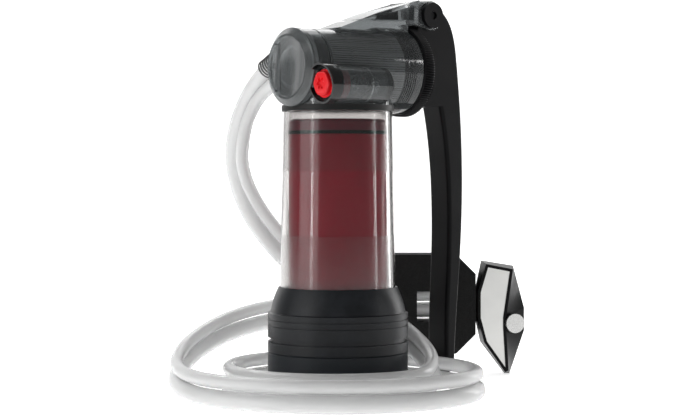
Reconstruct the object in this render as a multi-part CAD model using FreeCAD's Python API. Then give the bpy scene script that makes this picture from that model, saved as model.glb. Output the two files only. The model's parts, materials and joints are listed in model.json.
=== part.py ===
"""Hand-pump water filter with a bottle adapter, a bowed pump lever and a floating prefilter.

Frame: origin at the centre of the base, on the surface that it stands on. +Z is up along the
cartridge, +X runs along the pump barrel from the end cap towards the lever, and +Y is the side
of the hose ports. Millimetres.
"""
import FreeCAD
import Part
import math
import os

Vec = FreeCAD.Vector
os.makedirs("parts", exist_ok=True)

# ---- driving dimensions -------------------------------------------------------------------
RUN_FIT = 0.05          # radial clearance of a turning or sliding fit
FACE_GAP = 0.3          # axial gap between two pieces that move against each other

# Bottle end
NECK_R = 31.5           # wide-mouth bottle socket
NECK_DEPTH = 14.4
RING_WALL = 5.0         # adapter ring, outside the socket
RING_R = NECK_R + RING_WALL
RING_H = 23.7
WEB_HOLE_R = 20.0       # opening in the ring's web, above the socket
GASKET_T = 1.6
RECESS = 0.7            # how far the gasket's recess is wider than the socket
PLATE_T = 6.0           # outlet plate under the cartridge
PLATE_TOP = RING_H + PLATE_T
OUTLET_R = 6.0
OUTLET_HOLE_R = 3.0
OUTLET_DROP = 6.0       # how far the outlet nipple reaches down
SOCKET_R = 8.05         # cartridge socket in the plate
SOCKET_H = 6.0
SOCKET_WALL = 3.0
BOOT_WALL = 6.4         # rubber boot, in its straight ribbed part
BOOT_RIB_TOP = RING_H + 19.9
BOOT_TOP = BOOT_RIB_TOP + 13.4
BOOT_LIP = 0.8          # rubber thickness at the top lip
# Grooves round the boot: height above the ring, half width and depth
BOOT_GROOVES = ((6.3, 1.2, 1.4), (13.8, 0.4, 0.6), (17.0, 0.4, 0.6))

# Housing and cartridge
HOUSING_R = RING_R - BOOT_WALL
HOUSING_LENGTH = 91.0   # from the boot's top to the gasket
HOUSING_TAPER = 1.8
HOUSING_TOP = BOOT_TOP + HOUSING_LENGTH
HOUSING_TOP_R = HOUSING_R - HOUSING_TAPER
WALL = 2.0
CART_GAP = 0.8          # between the cartridge and the housing's narrow end
CART_R = HOUSING_TOP_R - WALL - CART_GAP
CART_WALL = 1.5
CART_FLOOR_T = 2.0
CART_FLOOR = PLATE_TOP + 10.3
CART_CAP_T = 5.9
CART_TOP = HOUSING_TOP - 4.4
CART_SHELL_TOP = CART_TOP - CART_CAP_T
CAP_SLOTS = 8
CAP_SLOT_R = 2.2
CAP_SLOT_RING_R = 15.0
NOZZLE_R = 6.5
NOZZLE_GAP = 0.7        # between the nozzle's end and the plate
POTTING_T = 8.0
FIBER_GAP = 1.5         # between the fibres and the cartridge's wall
FIBER_R = CART_R - CART_WALL - FIBER_GAP
SEAL_T = 1.8
HEAD_GASKET_T = 3.0
GASKET_TOP = HOUSING_TOP + HEAD_GASKET_T
GASKET_LIP = 0.9        # how far the gasket stands out past the housing

# Pump barrel, from the end cap along +X
LINER_R = 14.0          # pump bore
LINER_WALL = 1.5
BORE_R = LINER_R + LINER_WALL
BARREL_R = BORE_R + 4.5
BARREL_SINK = 1.0       # how far the barrel dips below the gasket's top, where it is cut flat
AXIS_Z = GASKET_TOP + BARREL_R - BARREL_SINK
BARREL_BACK = -27.0
BARREL_MID_R = BARREL_R + 1.0
STROKE = 33.3
CAP_R = BARREL_R
CAP_T = 6.0
CAP_FACE = BARREL_BACK - CAP_T
CAP_FLAT_R = CAP_R - 4.0
CAP_PLUG_END = BARREL_BACK + 5.0
CAP_PLUG_WALL = 3.5
CAP_GROOVE = 1.4        # from the barrel's end to the cap's ring groove
CAP_GROOVE_T = 1.8
CHORD_Y = 6.3           # step across the cap's face
LINER_START = CAP_PLUG_END + 6.0
PISTON_X = LINER_START + 2.0
PISTON_T = 9.0
PISTON_BOSS_T = 1.5
PISTON_GROOVE = 3.0     # from the piston's face to its seal groove
PISTON_GROOVE_T = 3.0
PISTON_GROOVE_DEPTH = 1.8
GROOVE_GAP = 0.1        # between a seal and each side of its groove
ROD_R = 4.0
PISTON_BOSS_R = ROD_R + 1.5
STOP_GAP = 0.2          # left between the piston's boss and the guide at full stroke
GUIDE_START = PISTON_X + PISTON_T + PISTON_BOSS_T + STROKE + STOP_GAP
ROD_SEAL_X = GUIDE_START + 4.0
ROD_SEAL_T = 2.5
ROD_SEAL_WALL = 2.2
THREAD_END = GUIDE_START + 9.4
THREAD_X = THREAD_END - 16.4
THREAD_R = BARREL_R + 2.5
RIDGES = 6              # fine rings round the barrel's wide end
RIDGE_DEPTH = 0.45
RIDGE_PITCH = 1.35
RIDGE_X = THREAD_END - 12.0
NECK_END = THREAD_END + 4.2
NUT_SEAT_R = BARREL_R + 1.5
NUT_R = THREAD_R + 1.5
NUT_END = NECK_END + 3.4
NUT_HOLE_R = ROD_R + 3.0
SADDLE_R = HOUSING_TOP_R - 0.3
SADDLE_TOP = GASKET_TOP + 7.0
SADDLE_ROOT_R = 17.0
SADDLE_ROOT_TOP = GASKET_TOP + 13.0
BASIN_R = CART_R - 1.0
BASIN_DEPTH = 1.8       # water space between the gasket and the saddle's roof

# Ports and their fittings
PORT_X = BARREL_BACK + 7.0
PORT_Y = BARREL_R + 2.0
INLET_Z = AXIS_Z + 6.8
INLET_DIP = 24.0        # degrees below the horizontal
PURGE_Z = AXIS_Z - 4.4
PURGE_DIP = 20.0
INLET_D = 9.0           # inlet hose
PURGE_D = 7.0           # purge hose
HOSE_GAP = 0.6
FLANGE_T = 2.0
FLANGE_LIP = 1.1        # inlet fitting's flange, outside its hose
PURGE_LIP = 0.8
INLET_SPIGOT_R = 3.6
PURGE_SPIGOT_R = 2.8
INLET_BOSS_R = 6.0
PURGE_BOSS_R = 4.4
DRAIN_X = PORT_X + 1.4
DRAIN_R = 3.0
VALVE_R = 4.5
VALVE_T = 1.0

# Lever, pivot and cross pin
EYE_X = NUT_END + 7.0   # cross pin at rest
EYE_HALF = 2.7          # half the rod eye's thickness
EYE_R = 4.4
CROSS_R = 2.0
CAM_CLEAR = 0.35
CAM_STEPS = 12          # straight steps that the cam slot is made of
PIVOT_X = EYE_X + 1.0
LEVER_BOSS_R = PIVOT_X - NUT_END - 0.7   # the lever's round end clears the collar nut
PIVOT_RISE = NUT_R + 6.0        # the bracket stands clear above the collar nut
PIVOT_Z = AXIS_Z + PIVOT_RISE
TOE_OUT = -2.2          # far end of the cam slot, out from the pivot, so that it stays clear of the nut
TOE_REACH = math.hypot(EYE_X - PIVOT_X + STROKE, PIVOT_RISE)
TOE_LEAN = math.atan2(PIVOT_RISE, EYE_X - PIVOT_X + STROKE)
SWING_DEG = float(round(math.degrees(math.acos(TOE_OUT / TOE_REACH) - TOE_LEAN)))   # in whole degrees
PIN_R = 3.0
BOSS_R = 7.8
CHEEK_IN = 8.3          # inner half-distance between the bracket's cheeks
CHEEK_OUT = 10.0
LEVER_HALF = CHEEK_IN - FACE_GAP        # half the lever's width
FORK_HALF = EYE_HALF + 0.4              # half the gap between the lever's legs
TIP_Z = 11.0            # centre of the lever's rounded tip
TIP_R = 3.1
LEVER_ROUND = 2.0
# Side outline of the lever, from its head to its tip and back: distance out from the pivot, and drop
LEVER_BACK = ((4, -6.2), (14.8, 1.5), (21.3, 25), (23.9, 52), (25.2, 97), (22.4, 145), (19.6, 189))
LEVER_INSIDE = ((13.4, 189), (13.3, 160), (14.8, 125), (14.6, 95), (11.4, 62), (6.6, 40))
TIP_DROP = 189.0        # drop of the tip's centre in the outline above
LEVER_HEAD = 40.0       # below this drop the outline stretches to reach the tip
RIB_HALF = 3.2          # half the bracket's rib between its pockets
DISC_R = 6.7            # end caps of the pivot pin
DISC_T = 2.4
DISC_HOLE_R = 2.1

# Relief valve
SLEEVE_BORE = 7.2
SLEEVE_R = SLEEVE_BORE + 2.0
SLEEVE_Y = -(BARREL_R + SLEEVE_R - 3.2)
SLEEVE_Z = GASKET_TOP + SLEEVE_R + 0.4
SLEEVE_BACK = BARREL_BACK - 1.0
SLEEVE_LENGTH = 40.0
SLEEVE_END = SLEEVE_BACK + SLEEVE_LENGTH
SLEEVE_WEB = SLEEVE_END - 6.0
HOOD_OUT = 4.5          # how far the sleeve's hood reaches past the knob's guide
HOOD_R = SLEEVE_R + 1.0
HOOD_T = 5.0
HOOD_WALL = 1.0
HOOD_LEAN = 9.0         # degrees that the hood's front leans back
KNOB_R = SLEEVE_BORE - 0.8
KNOB_T = 2.6
KNOB_OUT = HOOD_OUT - 1.5
KNOB_NOTCHES = 6
KNOB_NOTCH_R = 1.7
KNOB_GROOVE = 4.0       # from the sleeve's mouth to the knob's ring groove
KNOB_GROOVE_T = 1.8
KNOB_GROOVE_DEPTH = 1.3
SHANK_LENGTH = 10.0
STEM_R = 2.2
STEM_HEAD_R = 4.5
STEM_HEAD_T = 2.5
STEM_END = SLEEVE_WEB - 3.5
SEAT_X = STEM_END - STEM_HEAD_T - 3.0
SEAT_T = 1.0
SPRING_R = 4.6
SPRING_WIRE_R = 0.45
SPRING_TURNS = 5

# Bend spring on the inlet hose
BEND_WIRE_R = 0.4
BEND_PITCH = 1.9
BEND_TURNS = 7
BEND_GAP = 0.2

# Float and prefilter
FLOAT_LEN = 59.5
FLOAT_TALL = 56.5
FLOAT_THICK = 26.0
FLOAT_CHAMFER = 11.0
WINDOW_LEN = 18.0
WINDOW_TALL = 17.5
WINDOW_ACROSS = 53.5    # the window's middle
WINDOW_Z = 39.8
FLOAT_ACROSS = 48.2     # the float's middle: across, away and up
FLOAT_AWAY = 98.0
FLOAT_Z = 41.3
LAY_DEG = -38.0         # the direction in which the float and the prefilter lie
CASE_HALF = 12.0        # half the prefilter's thickness
CASE_WALL = 2.6
CASE_BORDER = 1.7       # rim of the face round its window
CASE_HOLLOW = 0.8       # share of the face that the hollow inside takes
GAUZE_T = 0.8
WEIGHT_R = 5.5
WEIGHT_T = 9.0
COLLAR_LENGTH = 6.0
COLLAR_WIDE = 11.0
COLLAR_TALL = 21.0
COIL_STEPS = 16         # straight steps in one turn of a spring

X_DIR = Vec(1, 0, 0)
Y_DIR = Vec(0, 1, 0)
Z_DIR = Vec(0, 0, 1)
parts = {}


# ---- helpers ------------------------------------------------------------------------------
def outline(points, place):
    """Closed wire through points; an entry of two points is an arc, by its middle and its end."""
    edges = []
    last = place(*points[0])
    for entry in points[1:] + [points[0]]:
        if isinstance(entry[0], tuple):
            middle, end = place(*entry[0]), place(*entry[1])
            edges.append(Part.Arc(last, middle, end).toShape())
        else:
            end = place(*entry)
            edges.append(Part.LineSegment(last, end).toShape())
        last = end
    return Part.Wire(edges)


def turned_z(points):
    """Solid of revolution about the vertical axis, from (radius, height) points."""
    face = Part.Face(outline(points, lambda r, z: Vec(r, 0, z)))
    return face.revolve(Vec(0, 0, 0), Z_DIR, 360)


def turned_x(points, y=0.0, z=AXIS_Z):
    """Solid of revolution about a line along X at (y, z), from (x, radius) points."""
    face = Part.Face(outline(points, lambda x, r: Vec(x, y, z + r)))
    return face.revolve(Vec(0, y, z), X_DIR, 360)


def tube_z(low, high, r_out, r_in):
    solid = Part.makeCylinder(r_out, high - low, Vec(0, 0, low))
    return solid.cut(Part.makeCylinder(r_in, high - low, Vec(0, 0, low)))


def rod_x(start, end, radius, y=0.0, z=AXIS_Z):
    return Part.makeCylinder(radius, end - start, Vec(start, y, z), X_DIR)


def tube_x(start, end, r_out, r_in, y=0.0, z=AXIS_Z):
    return rod_x(start, end, r_out, y, z).cut(rod_x(start, end, r_in, y, z))


def rod_y(x, z, radius, half):
    return Part.makeCylinder(radius, 2 * half, Vec(x, -half, z), Y_DIR)


def rod_y_pair(x, z, radius, low, high):
    """Two like cylinders along Y, one each side of the middle plane."""
    near = Part.makeCylinder(radius, high - low, Vec(x, -high, z), Y_DIR)
    far = Part.makeCylinder(radius, high - low, Vec(x, low, z), Y_DIR)
    return Part.makeCompound([near, far])


def plate_y(points, low, high):
    """Side outline of (x, z) points, given thickness from y = low to y = high."""
    wire = outline(points, lambda x, z: Vec(x, low, z))
    return Part.Face(wire).extrude(Vec(0, high - low, 0))


def cap_room():
    """Space that the end cap turns in."""
    return rod_x(CAP_FACE - 1, BARREL_BACK, CAP_R + FACE_GAP)


def hood_room():
    """Space that the hood of the valve sleeve takes out of the pump head."""
    return rod_x(SLEEVE_BACK - HOOD_T, SLEEVE_BACK + HOOD_T, HOOD_R, SLEEVE_Y, SLEEVE_Z)


def both_sides(points, low, high):
    return plate_y(points, low, high).fuse(plate_y(points, -high, -low))


def coil(radius, wire_r, pitch, turns, base, axis):
    """Helical spring of round wire, in short straight steps, that starts at base along axis."""
    points = []
    for step in range(turns * COIL_STEPS + 1):
        turn = 2 * math.pi * step / COIL_STEPS
        points.append(Vec(radius * math.cos(turn), radius * math.sin(turn), pitch * step / COIL_STEPS))
    section = Part.Wire(Part.makeCircle(wire_r, points[0], (points[1] - points[0]).normalize()))
    solid = Part.makePolygon(points).makePipeShell([section], True, False, 1)
    solid.Placement = FreeCAD.Placement(base, FreeCAD.Rotation(Z_DIR, axis))
    return solid


def keep(name, shape):
    parts[name] = shape


# ---- bottle end ---------------------------------------------------------------------------
def bottle_end():
    recess_r = NECK_R + RECESS
    web_z = NECK_DEPTH + GASKET_T
    keep("adapter_ring", turned_z([
        (NECK_R, 0), (RING_R - 1, 0), (RING_R, 1), (RING_R, RING_H - 0.8),
        (RING_R - 0.8, RING_H), (WEB_HOLE_R, RING_H), (WEB_HOLE_R, web_z), (recess_r, web_z),
        (recess_r, NECK_DEPTH), (NECK_R, NECK_DEPTH)]))
    keep("bottle_gasket", tube_z(NECK_DEPTH, web_z, recess_r, WEB_HOLE_R + 1))

    nipple_low = RING_H - OUTLET_DROP
    plate = turned_z([
        (OUTLET_HOLE_R, nipple_low), (OUTLET_R - 1, nipple_low), (OUTLET_R, nipple_low + 1),
        (OUTLET_R, RING_H), (HOUSING_R, RING_H), (HOUSING_R, PLATE_TOP),
        (SOCKET_R + SOCKET_WALL, PLATE_TOP), (SOCKET_R + SOCKET_WALL, PLATE_TOP + SOCKET_H),
        (SOCKET_R, PLATE_TOP + SOCKET_H), (SOCKET_R, PLATE_TOP),
        (OUTLET_HOLE_R, PLATE_TOP)])
    keep("outlet_plate", plate)

    lip_r = HOUSING_R + BOOT_LIP
    flare_mid = ((RING_R + lip_r) / 2 - 0.2, (BOOT_RIB_TOP + BOOT_TOP) / 2 + 0.4)
    boot = turned_z([
        (HOUSING_R, RING_H), (RING_R, RING_H), (RING_R, BOOT_RIB_TOP), (RING_R - 1.3, BOOT_RIB_TOP + 0.4),
        (flare_mid, (lip_r, BOOT_TOP)), (HOUSING_R, BOOT_TOP)])
    grooves = []
    for rise, half, deep in BOOT_GROOVES:
        height = RING_H + rise
        grooves.append(tube_z(height - half, height + half, RING_R + 1, RING_R - deep))
    keep("adapter_boot", boot.cut(grooves))


# ---- cartridge ----------------------------------------------------------------------------
def housing_r(height):
    """Outside radius of the tapered housing at a height."""
    share = (height - BOOT_TOP) / (HOUSING_TOP - BOOT_TOP)
    return HOUSING_R - (HOUSING_R - HOUSING_TOP_R) * share


def cartridge():
    keep("cartridge_housing", turned_z([
        (HOUSING_R, PLATE_TOP), (HOUSING_R, BOOT_TOP), (HOUSING_TOP_R, HOUSING_TOP),
        (HOUSING_TOP_R - WALL, HOUSING_TOP), (HOUSING_R - WALL, BOOT_TOP), (HOUSING_R - WALL, PLATE_TOP)]))
    inner_r = CART_R - CART_WALL
    floor = CART_FLOOR + CART_FLOOR_T
    keep("cartridge_shell", turned_z([
        (OUTLET_HOLE_R, PLATE_TOP + NOZZLE_GAP), (NOZZLE_R, PLATE_TOP + NOZZLE_GAP), (NOZZLE_R, CART_FLOOR),
        (CART_R - 1, CART_FLOOR), (CART_R, CART_FLOOR + 1), (CART_R, CART_SHELL_TOP),
        (inner_r, CART_SHELL_TOP), (inner_r, floor), (OUTLET_HOLE_R, floor)]))
    potting_top = floor + POTTING_T
    keep("fiber_potting", Part.makeCylinder(inner_r, POTTING_T, Vec(0, 0, floor)))
    keep("fiber_bundle", Part.makeCylinder(FIBER_R, CART_SHELL_TOP - potting_top, Vec(0, 0, potting_top)))
    cap = turned_z([
        (0, CART_SHELL_TOP), (CART_R, CART_SHELL_TOP), (CART_R, CART_TOP - 1.2), (CART_R - 1.2, CART_TOP),
        (0, CART_TOP)])
    slots = []
    for step in range(CAP_SLOTS):
        turn = 2 * math.pi * step / CAP_SLOTS
        centre = Vec(CAP_SLOT_RING_R * math.cos(turn), CAP_SLOT_RING_R * math.sin(turn), CART_SHELL_TOP - 1)
        slots.append(Part.makeCylinder(CAP_SLOT_R, CART_CAP_T + 2, centre))
    keep("cartridge_cap", cap.cut(slots))
    ring_r = (NOZZLE_R + SOCKET_R) / 2
    ring_base = Vec(0, 0, PLATE_TOP + 0.6 * SOCKET_H)
    keep("cartridge_oring", Part.makeTorus(ring_r, (SOCKET_R - NOZZLE_R) / 2, ring_base))
    seal_low = CART_SHELL_TOP - SEAL_T
    keep("cartridge_seal", tube_z(seal_low, CART_SHELL_TOP, housing_r(CART_SHELL_TOP) - WALL, CART_R))
    gasket = tube_z(HOUSING_TOP, GASKET_TOP, HOUSING_TOP_R + GASKET_LIP, HOUSING_TOP_R - WALL - 1)
    keep("head_gasket", gasket.cut([cap_room(), hood_room()]))


# ---- pump head ----------------------------------------------------------------------------
def barrel_profile():
    """Outside of the barrel as (x, radius) points, from the end cap to the nut's seat."""
    groove = BARREL_BACK + 6.6
    step = BARREL_BACK + 21
    points = [(BARREL_BACK, BARREL_R - 0.5), (groove - 0.6, BARREL_R), (groove, BARREL_R),
              (groove + 0.2, BARREL_R - 0.5), (groove + 1, BARREL_R - 0.5), (groove + 1.2, BARREL_R),
              (step, BARREL_R + 0.3), (step + 0.6, BARREL_MID_R), (THREAD_X - 9, BARREL_MID_R),
              (THREAD_X - 3, THREAD_R)]
    foot_r = THREAD_R - RIDGE_DEPTH
    for ridge in range(RIDGES):
        start = RIDGE_X + ridge * RIDGE_PITCH
        points += [(start, THREAD_R), (start + 0.2, foot_r), (start + 0.5, foot_r), (start + 0.7, THREAD_R)]
    return points + [(THREAD_END, THREAD_R)]


def port_line(along, height, dip):
    """Point at a distance along a port's axis, from its mouth, and the axis direction."""
    slope = math.radians(dip)
    direction = Vec(0, math.cos(slope), -math.sin(slope))
    return Vec(PORT_X, PORT_Y, height) + direction * along, direction


def port_rod(start, end, radius, height, dip):
    base, direction = port_line(start, height, dip)
    return Part.makeCylinder(radius, end - start, base, direction)


def pump_head():
    inner = [(NECK_END, NUT_SEAT_R), (NECK_END, BORE_R), (BARREL_BACK, BORE_R)]
    barrel = turned_x(barrel_profile() + [(THREAD_END, NUT_SEAT_R)] + inner)
    saddle = turned_z([(0, GASKET_TOP), (SADDLE_R, GASKET_TOP), (SADDLE_R, SADDLE_TOP - 2),
                       ((SADDLE_R - 0.6, SADDLE_TOP - 0.6), (SADDLE_R - 2, SADDLE_TOP)),
                       (SADDLE_ROOT_R, SADDLE_ROOT_TOP), (0, SADDLE_ROOT_TOP)])
    bore = rod_x(-2 * SADDLE_R, 2 * SADDLE_R, BORE_R)
    inlet_boss = port_rod(-7, 0, INLET_BOSS_R, INLET_Z, INLET_DIP)
    purge_boss = port_rod(-8, 0, PURGE_BOSS_R, PURGE_Z, PURGE_DIP)
    head = barrel.fuse([saddle.cut([bore, cap_room()]), inlet_boss.cut(bore), purge_boss.cut(bore)])
    inlet_way = port_rod(-16, 1, INLET_SPIGOT_R, INLET_Z, INLET_DIP)
    purge_way = port_rod(-6, 1, PURGE_SPIGOT_R, PURGE_Z, PURGE_DIP)
    drain = Part.makeCylinder(DRAIN_R, BARREL_R - BORE_R + BASIN_DEPTH, Vec(DRAIN_X, 0, GASKET_TOP))
    below = Part.makeCylinder(HOUSING_TOP_R + GASKET_LIP + FACE_GAP, 10, Vec(0, 0, GASKET_TOP - 10))
    basin = Part.makeCylinder(BASIN_R, BASIN_DEPTH, Vec(0, 0, GASKET_TOP))
    pocket = rod_x(SLEEVE_BACK - HOOD_T, SLEEVE_END, SLEEVE_R, SLEEVE_Y, SLEEVE_Z)
    rooms = [inlet_way, purge_way, drain, pocket, hood_room(), below, basin]
    keep("pump_head", head.cut(rooms).removeSplitter())

    keep("cylinder_liner", tube_x(LINER_START, GUIDE_START, BORE_R, LINER_R))
    guide = tube_x(GUIDE_START, NECK_END, BORE_R, ROD_R + RUN_FIT)
    seal_end = ROD_SEAL_X + ROD_SEAL_T
    keep("rod_guide", guide.cut(tube_x(ROD_SEAL_X, seal_end, ROD_R + ROD_SEAL_WALL, ROD_R)))
    keep("rod_seal", tube_x(ROD_SEAL_X, seal_end, ROD_R + ROD_SEAL_WALL, ROD_R + 2 * RUN_FIT))
    valve_z = GASKET_TOP + BASIN_DEPTH - VALVE_T
    keep("outlet_check_valve", Part.makeCylinder(VALVE_R, VALVE_T, Vec(DRAIN_X, 0, valve_z)))
    keep("inlet_check_valve", port_rod(-6, -4.5, INLET_SPIGOT_R, INLET_Z, INLET_DIP))


def closures():
    shoulder = BARREL_BACK - FACE_GAP
    rim = [(CAP_FACE + 0.5, 0), (CAP_FACE + 0.5, CAP_FLAT_R - 1.2), (CAP_FACE, CAP_FLAT_R - 0.7),
           (CAP_FACE, CAP_FLAT_R + 0.6), (CAP_FACE + 2.6, CAP_R), (shoulder, CAP_R)]
    plug_r = BORE_R - RUN_FIT
    ring_r = 0.5 * (CAP_GROOVE_T - 2 * GROOVE_GAP) - RUN_FIT
    groove = BARREL_BACK + CAP_GROOVE
    groove_end = groove + CAP_GROOVE_T
    inner_r = plug_r - CAP_PLUG_WALL
    groove_r = plug_r - 2 * ring_r
    plug = [(shoulder, plug_r), (groove, plug_r), (groove, groove_r), (groove_end, groove_r),
            (groove_end, plug_r),
            (CAP_PLUG_END, plug_r), (CAP_PLUG_END, inner_r), (shoulder, inner_r),
            (shoulder - 2, inner_r - 2), (shoulder - 2, 0)]
    chord = Part.makeBox(3, CAP_R, 3 * CAP_R, Vec(CAP_FACE - 2, CHORD_Y, AXIS_Z - 1.5 * CAP_R))
    disc = rod_x(CAP_FACE - 1, CAP_FACE + 1.1, CAP_FLAT_R - 1.2)
    keep("end_cap", turned_x(rim + plug).cut(chord.common(disc)))
    ring_x = (groove + groove_end) / 2
    keep("end_cap_oring", Part.makeTorus(plug_r - ring_r, ring_r, Vec(ring_x, 0, AXIS_Z), X_DIR))

    wall_x = NECK_END + FACE_GAP
    seat_r = NUT_SEAT_R + RUN_FIT
    keep("collar_nut", turned_x([
        (THREAD_END + FACE_GAP, seat_r), (THREAD_END + FACE_GAP, NUT_R - 0.7),
        (THREAD_END + FACE_GAP + 0.7, NUT_R), (NUT_END - 0.7, NUT_R), (NUT_END, NUT_R - 0.7),
        (NUT_END, NUT_HOLE_R + 1.5), (NUT_END - 1.5, NUT_HOLE_R), (wall_x, NUT_HOLE_R), (wall_x, seat_r)]))


# ---- piston and rod -----------------------------------------------------------------------
def piston_group():
    body_r = LINER_R - 1.4 * RUN_FIT
    end = PISTON_X + PISTON_T
    groove = PISTON_X + PISTON_GROOVE
    groove_end = groove + PISTON_GROOVE_T
    groove_r = body_r - PISTON_GROOVE_DEPTH
    boss_end = end + PISTON_BOSS_T
    keep("piston", turned_x([
        (PISTON_X, 0), (PISTON_X, body_r - 1), (PISTON_X + 1, body_r), (groove, body_r), (groove, groove_r),
        (groove_end, groove_r), (groove_end, body_r), (end, body_r), (end, PISTON_BOSS_R),
        (boss_end, PISTON_BOSS_R), (boss_end, ROD_R), (end, ROD_R), (end, 0)]))
    keep("piston_seal", tube_x(groove + GROOVE_GAP, groove_end - GROOVE_GAP, LINER_R - RUN_FIT, groove_r))
    rod = rod_x(end, EYE_X, ROD_R)
    flat_x = NUT_END
    sides = []
    for low in (EYE_HALF, -EYE_HALF - ROD_R):
        sides.append(Part.makeBox(EYE_X - flat_x, ROD_R, 2 * ROD_R, Vec(flat_x, low, AXIS_Z - ROD_R)))
    rod = rod.cut(sides).fuse(rod_y(EYE_X, AXIS_Z, EYE_R, EYE_HALF))
    keep("piston_rod", rod.cut(rod_y(EYE_X, AXIS_Z, CROSS_R, 2 * EYE_HALF)).removeSplitter())
    keep("cross_pin", rod_y(EYE_X, AXIS_Z, CROSS_R, LEVER_HALF - 0.4))


# ---- lever --------------------------------------------------------------------------------
def cam_point(share):
    """Place in the lever, at rest, that the cross pin reaches at a share of the swing.

    The rod moves in proportion to the lever's angle, so the pin wanders along a short curve
    in the lever.
    """
    turn = math.radians(SWING_DEG) * share
    along = EYE_X - PIVOT_X + STROKE * share
    up = AXIS_Z - PIVOT_Z
    return Vec(PIVOT_X + along * math.cos(turn) + up * math.sin(turn), 0,
               PIVOT_Z + up * math.cos(turn) - along * math.sin(turn))


def cam_slot():
    """Slot that the cross pin runs in: the pin and its clearance, carried along its curve."""
    half = CROSS_R + CAM_CLEAR
    places = [cam_point(step / CAM_STEPS) for step in range(CAM_STEPS + 1)]
    pieces = [rod_y(place.x, place.z, half, LEVER_HALF + 1) for place in places]
    for start, end in zip(places, places[1:]):
        aside = (end - start).normalize().cross(Y_DIR) * half
        corners = [start + aside, end + aside, end - aside, start - aside]
        pieces.append(plate_y([(corner.x, corner.z) for corner in corners], -LEVER_HALF - 1, LEVER_HALF + 1))
    return pieces[0].fuse(pieces[1:])


def rod_room():
    """Space in the lever, at rest, that the round part of the rod passes through over the swing."""
    rooms = []
    for step in range(CAM_STEPS + 1):
        share = step / CAM_STEPS
        out = NUT_END + STROKE * share
        room = rod_x(out - 2 * ROD_R, out + CAM_CLEAR, ROD_R + CAM_CLEAR)
        room.rotate(Vec(PIVOT_X, 0, PIVOT_Z), Y_DIR, SWING_DEG * share)
        rooms.append(room)
    return rooms


def spline_edge(points):
    curve = Part.BSplineCurve()
    curve.interpolate([Vec(x, 0, z) for x, z in points])
    return curve.toShape()


def lever_place(out, drop):
    """Point of the lever's outline, by its distance out from the pivot and its drop below it.

    The head keeps its own shape; below it the outline stretches so that the tip ends at TIP_Z.
    """
    if drop > LEVER_HEAD:
        share = (drop - LEVER_HEAD) / (TIP_DROP - LEVER_HEAD)
        drop = LEVER_HEAD + share * (PIVOT_Z - TIP_Z - LEVER_HEAD)
    return PIVOT_X + out, PIVOT_Z - drop


def lever_outline():
    """Edges of the lever's side outline: its bowed back, its tip, its inside and its head."""
    back = [lever_place(*entry) for entry in LEVER_BACK]
    inside = [lever_place(*entry) for entry in LEVER_INSIDE]
    tip_x = (back[-1][0] + inside[0][0]) / 2
    heel = lever_place(0.5, 4)
    corners = [inside[-1], heel, back[0]]
    edges = [spline_edge(back)]
    tip = [Vec(back[-1][0], 0, TIP_Z), Vec(tip_x, 0, TIP_Z - TIP_R), Vec(inside[0][0], 0, TIP_Z)]
    edges.append(Part.Arc(*tip).toShape())
    edges.append(spline_edge(inside))
    for start, end in zip(corners, corners[1:]):
        edges.append(Part.LineSegment(Vec(start[0], 0, start[1]), Vec(end[0], 0, end[1])).toShape())
    return edges


def lever():
    slab = Part.Face(Part.Wire(lever_outline())).extrude(Vec(0, 2 * LEVER_HALF, 0))
    slab.translate(Vec(0, -LEVER_HALF, 0))
    across = [edge for edge in slab.Edges if edge.BoundBox.YLength < 0.1]
    rounded = [edge for edge in across if edge.BoundBox.ZMin < PIVOT_Z / 2]
    slab = slab.makeFillet(LEVER_ROUND, rounded)

    toe = cam_point(1)
    wall = CROSS_R + CAM_CLEAR + 2.4
    back = PIVOT_X + 10
    lobe = [(PIVOT_X - LEVER_BOSS_R, PIVOT_Z), (toe.x - wall, toe.z), ((toe.x - 0.5 * wall, toe.z - 0.85 * wall),
            (toe.x + 0.6, toe.z - wall)), (back + 1.2, toe.z - wall + 1.0), (back, PIVOT_Z - 24),
            (back, PIVOT_Z + 3), lever_place(*LEVER_BACK[0])]
    boss = rod_y(PIVOT_X, PIVOT_Z, LEVER_BOSS_R, LEVER_HALF)
    body = slab.fuse([plate_y(lobe, -LEVER_HALF, LEVER_HALF), boss])
    reach = EYE_R + 0.6
    gap_x = max(cam_point(step / CAM_STEPS).x for step in range(CAM_STEPS + 1)) + reach
    gap_low = toe.z - 12
    gap_tall = AXIS_Z + reach + 0.6 - gap_low
    gap = Part.makeBox(gap_x - BARREL_R, 2 * FORK_HALF, gap_tall, Vec(BARREL_R, -FORK_HALF, gap_low))
    pin_hole = rod_y(PIVOT_X, PIVOT_Z, PIN_R + RUN_FIT, CHEEK_OUT)
    body = body.cut([gap, cam_slot(), pin_hole] + rod_room())
    keep("handle", body)


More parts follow.
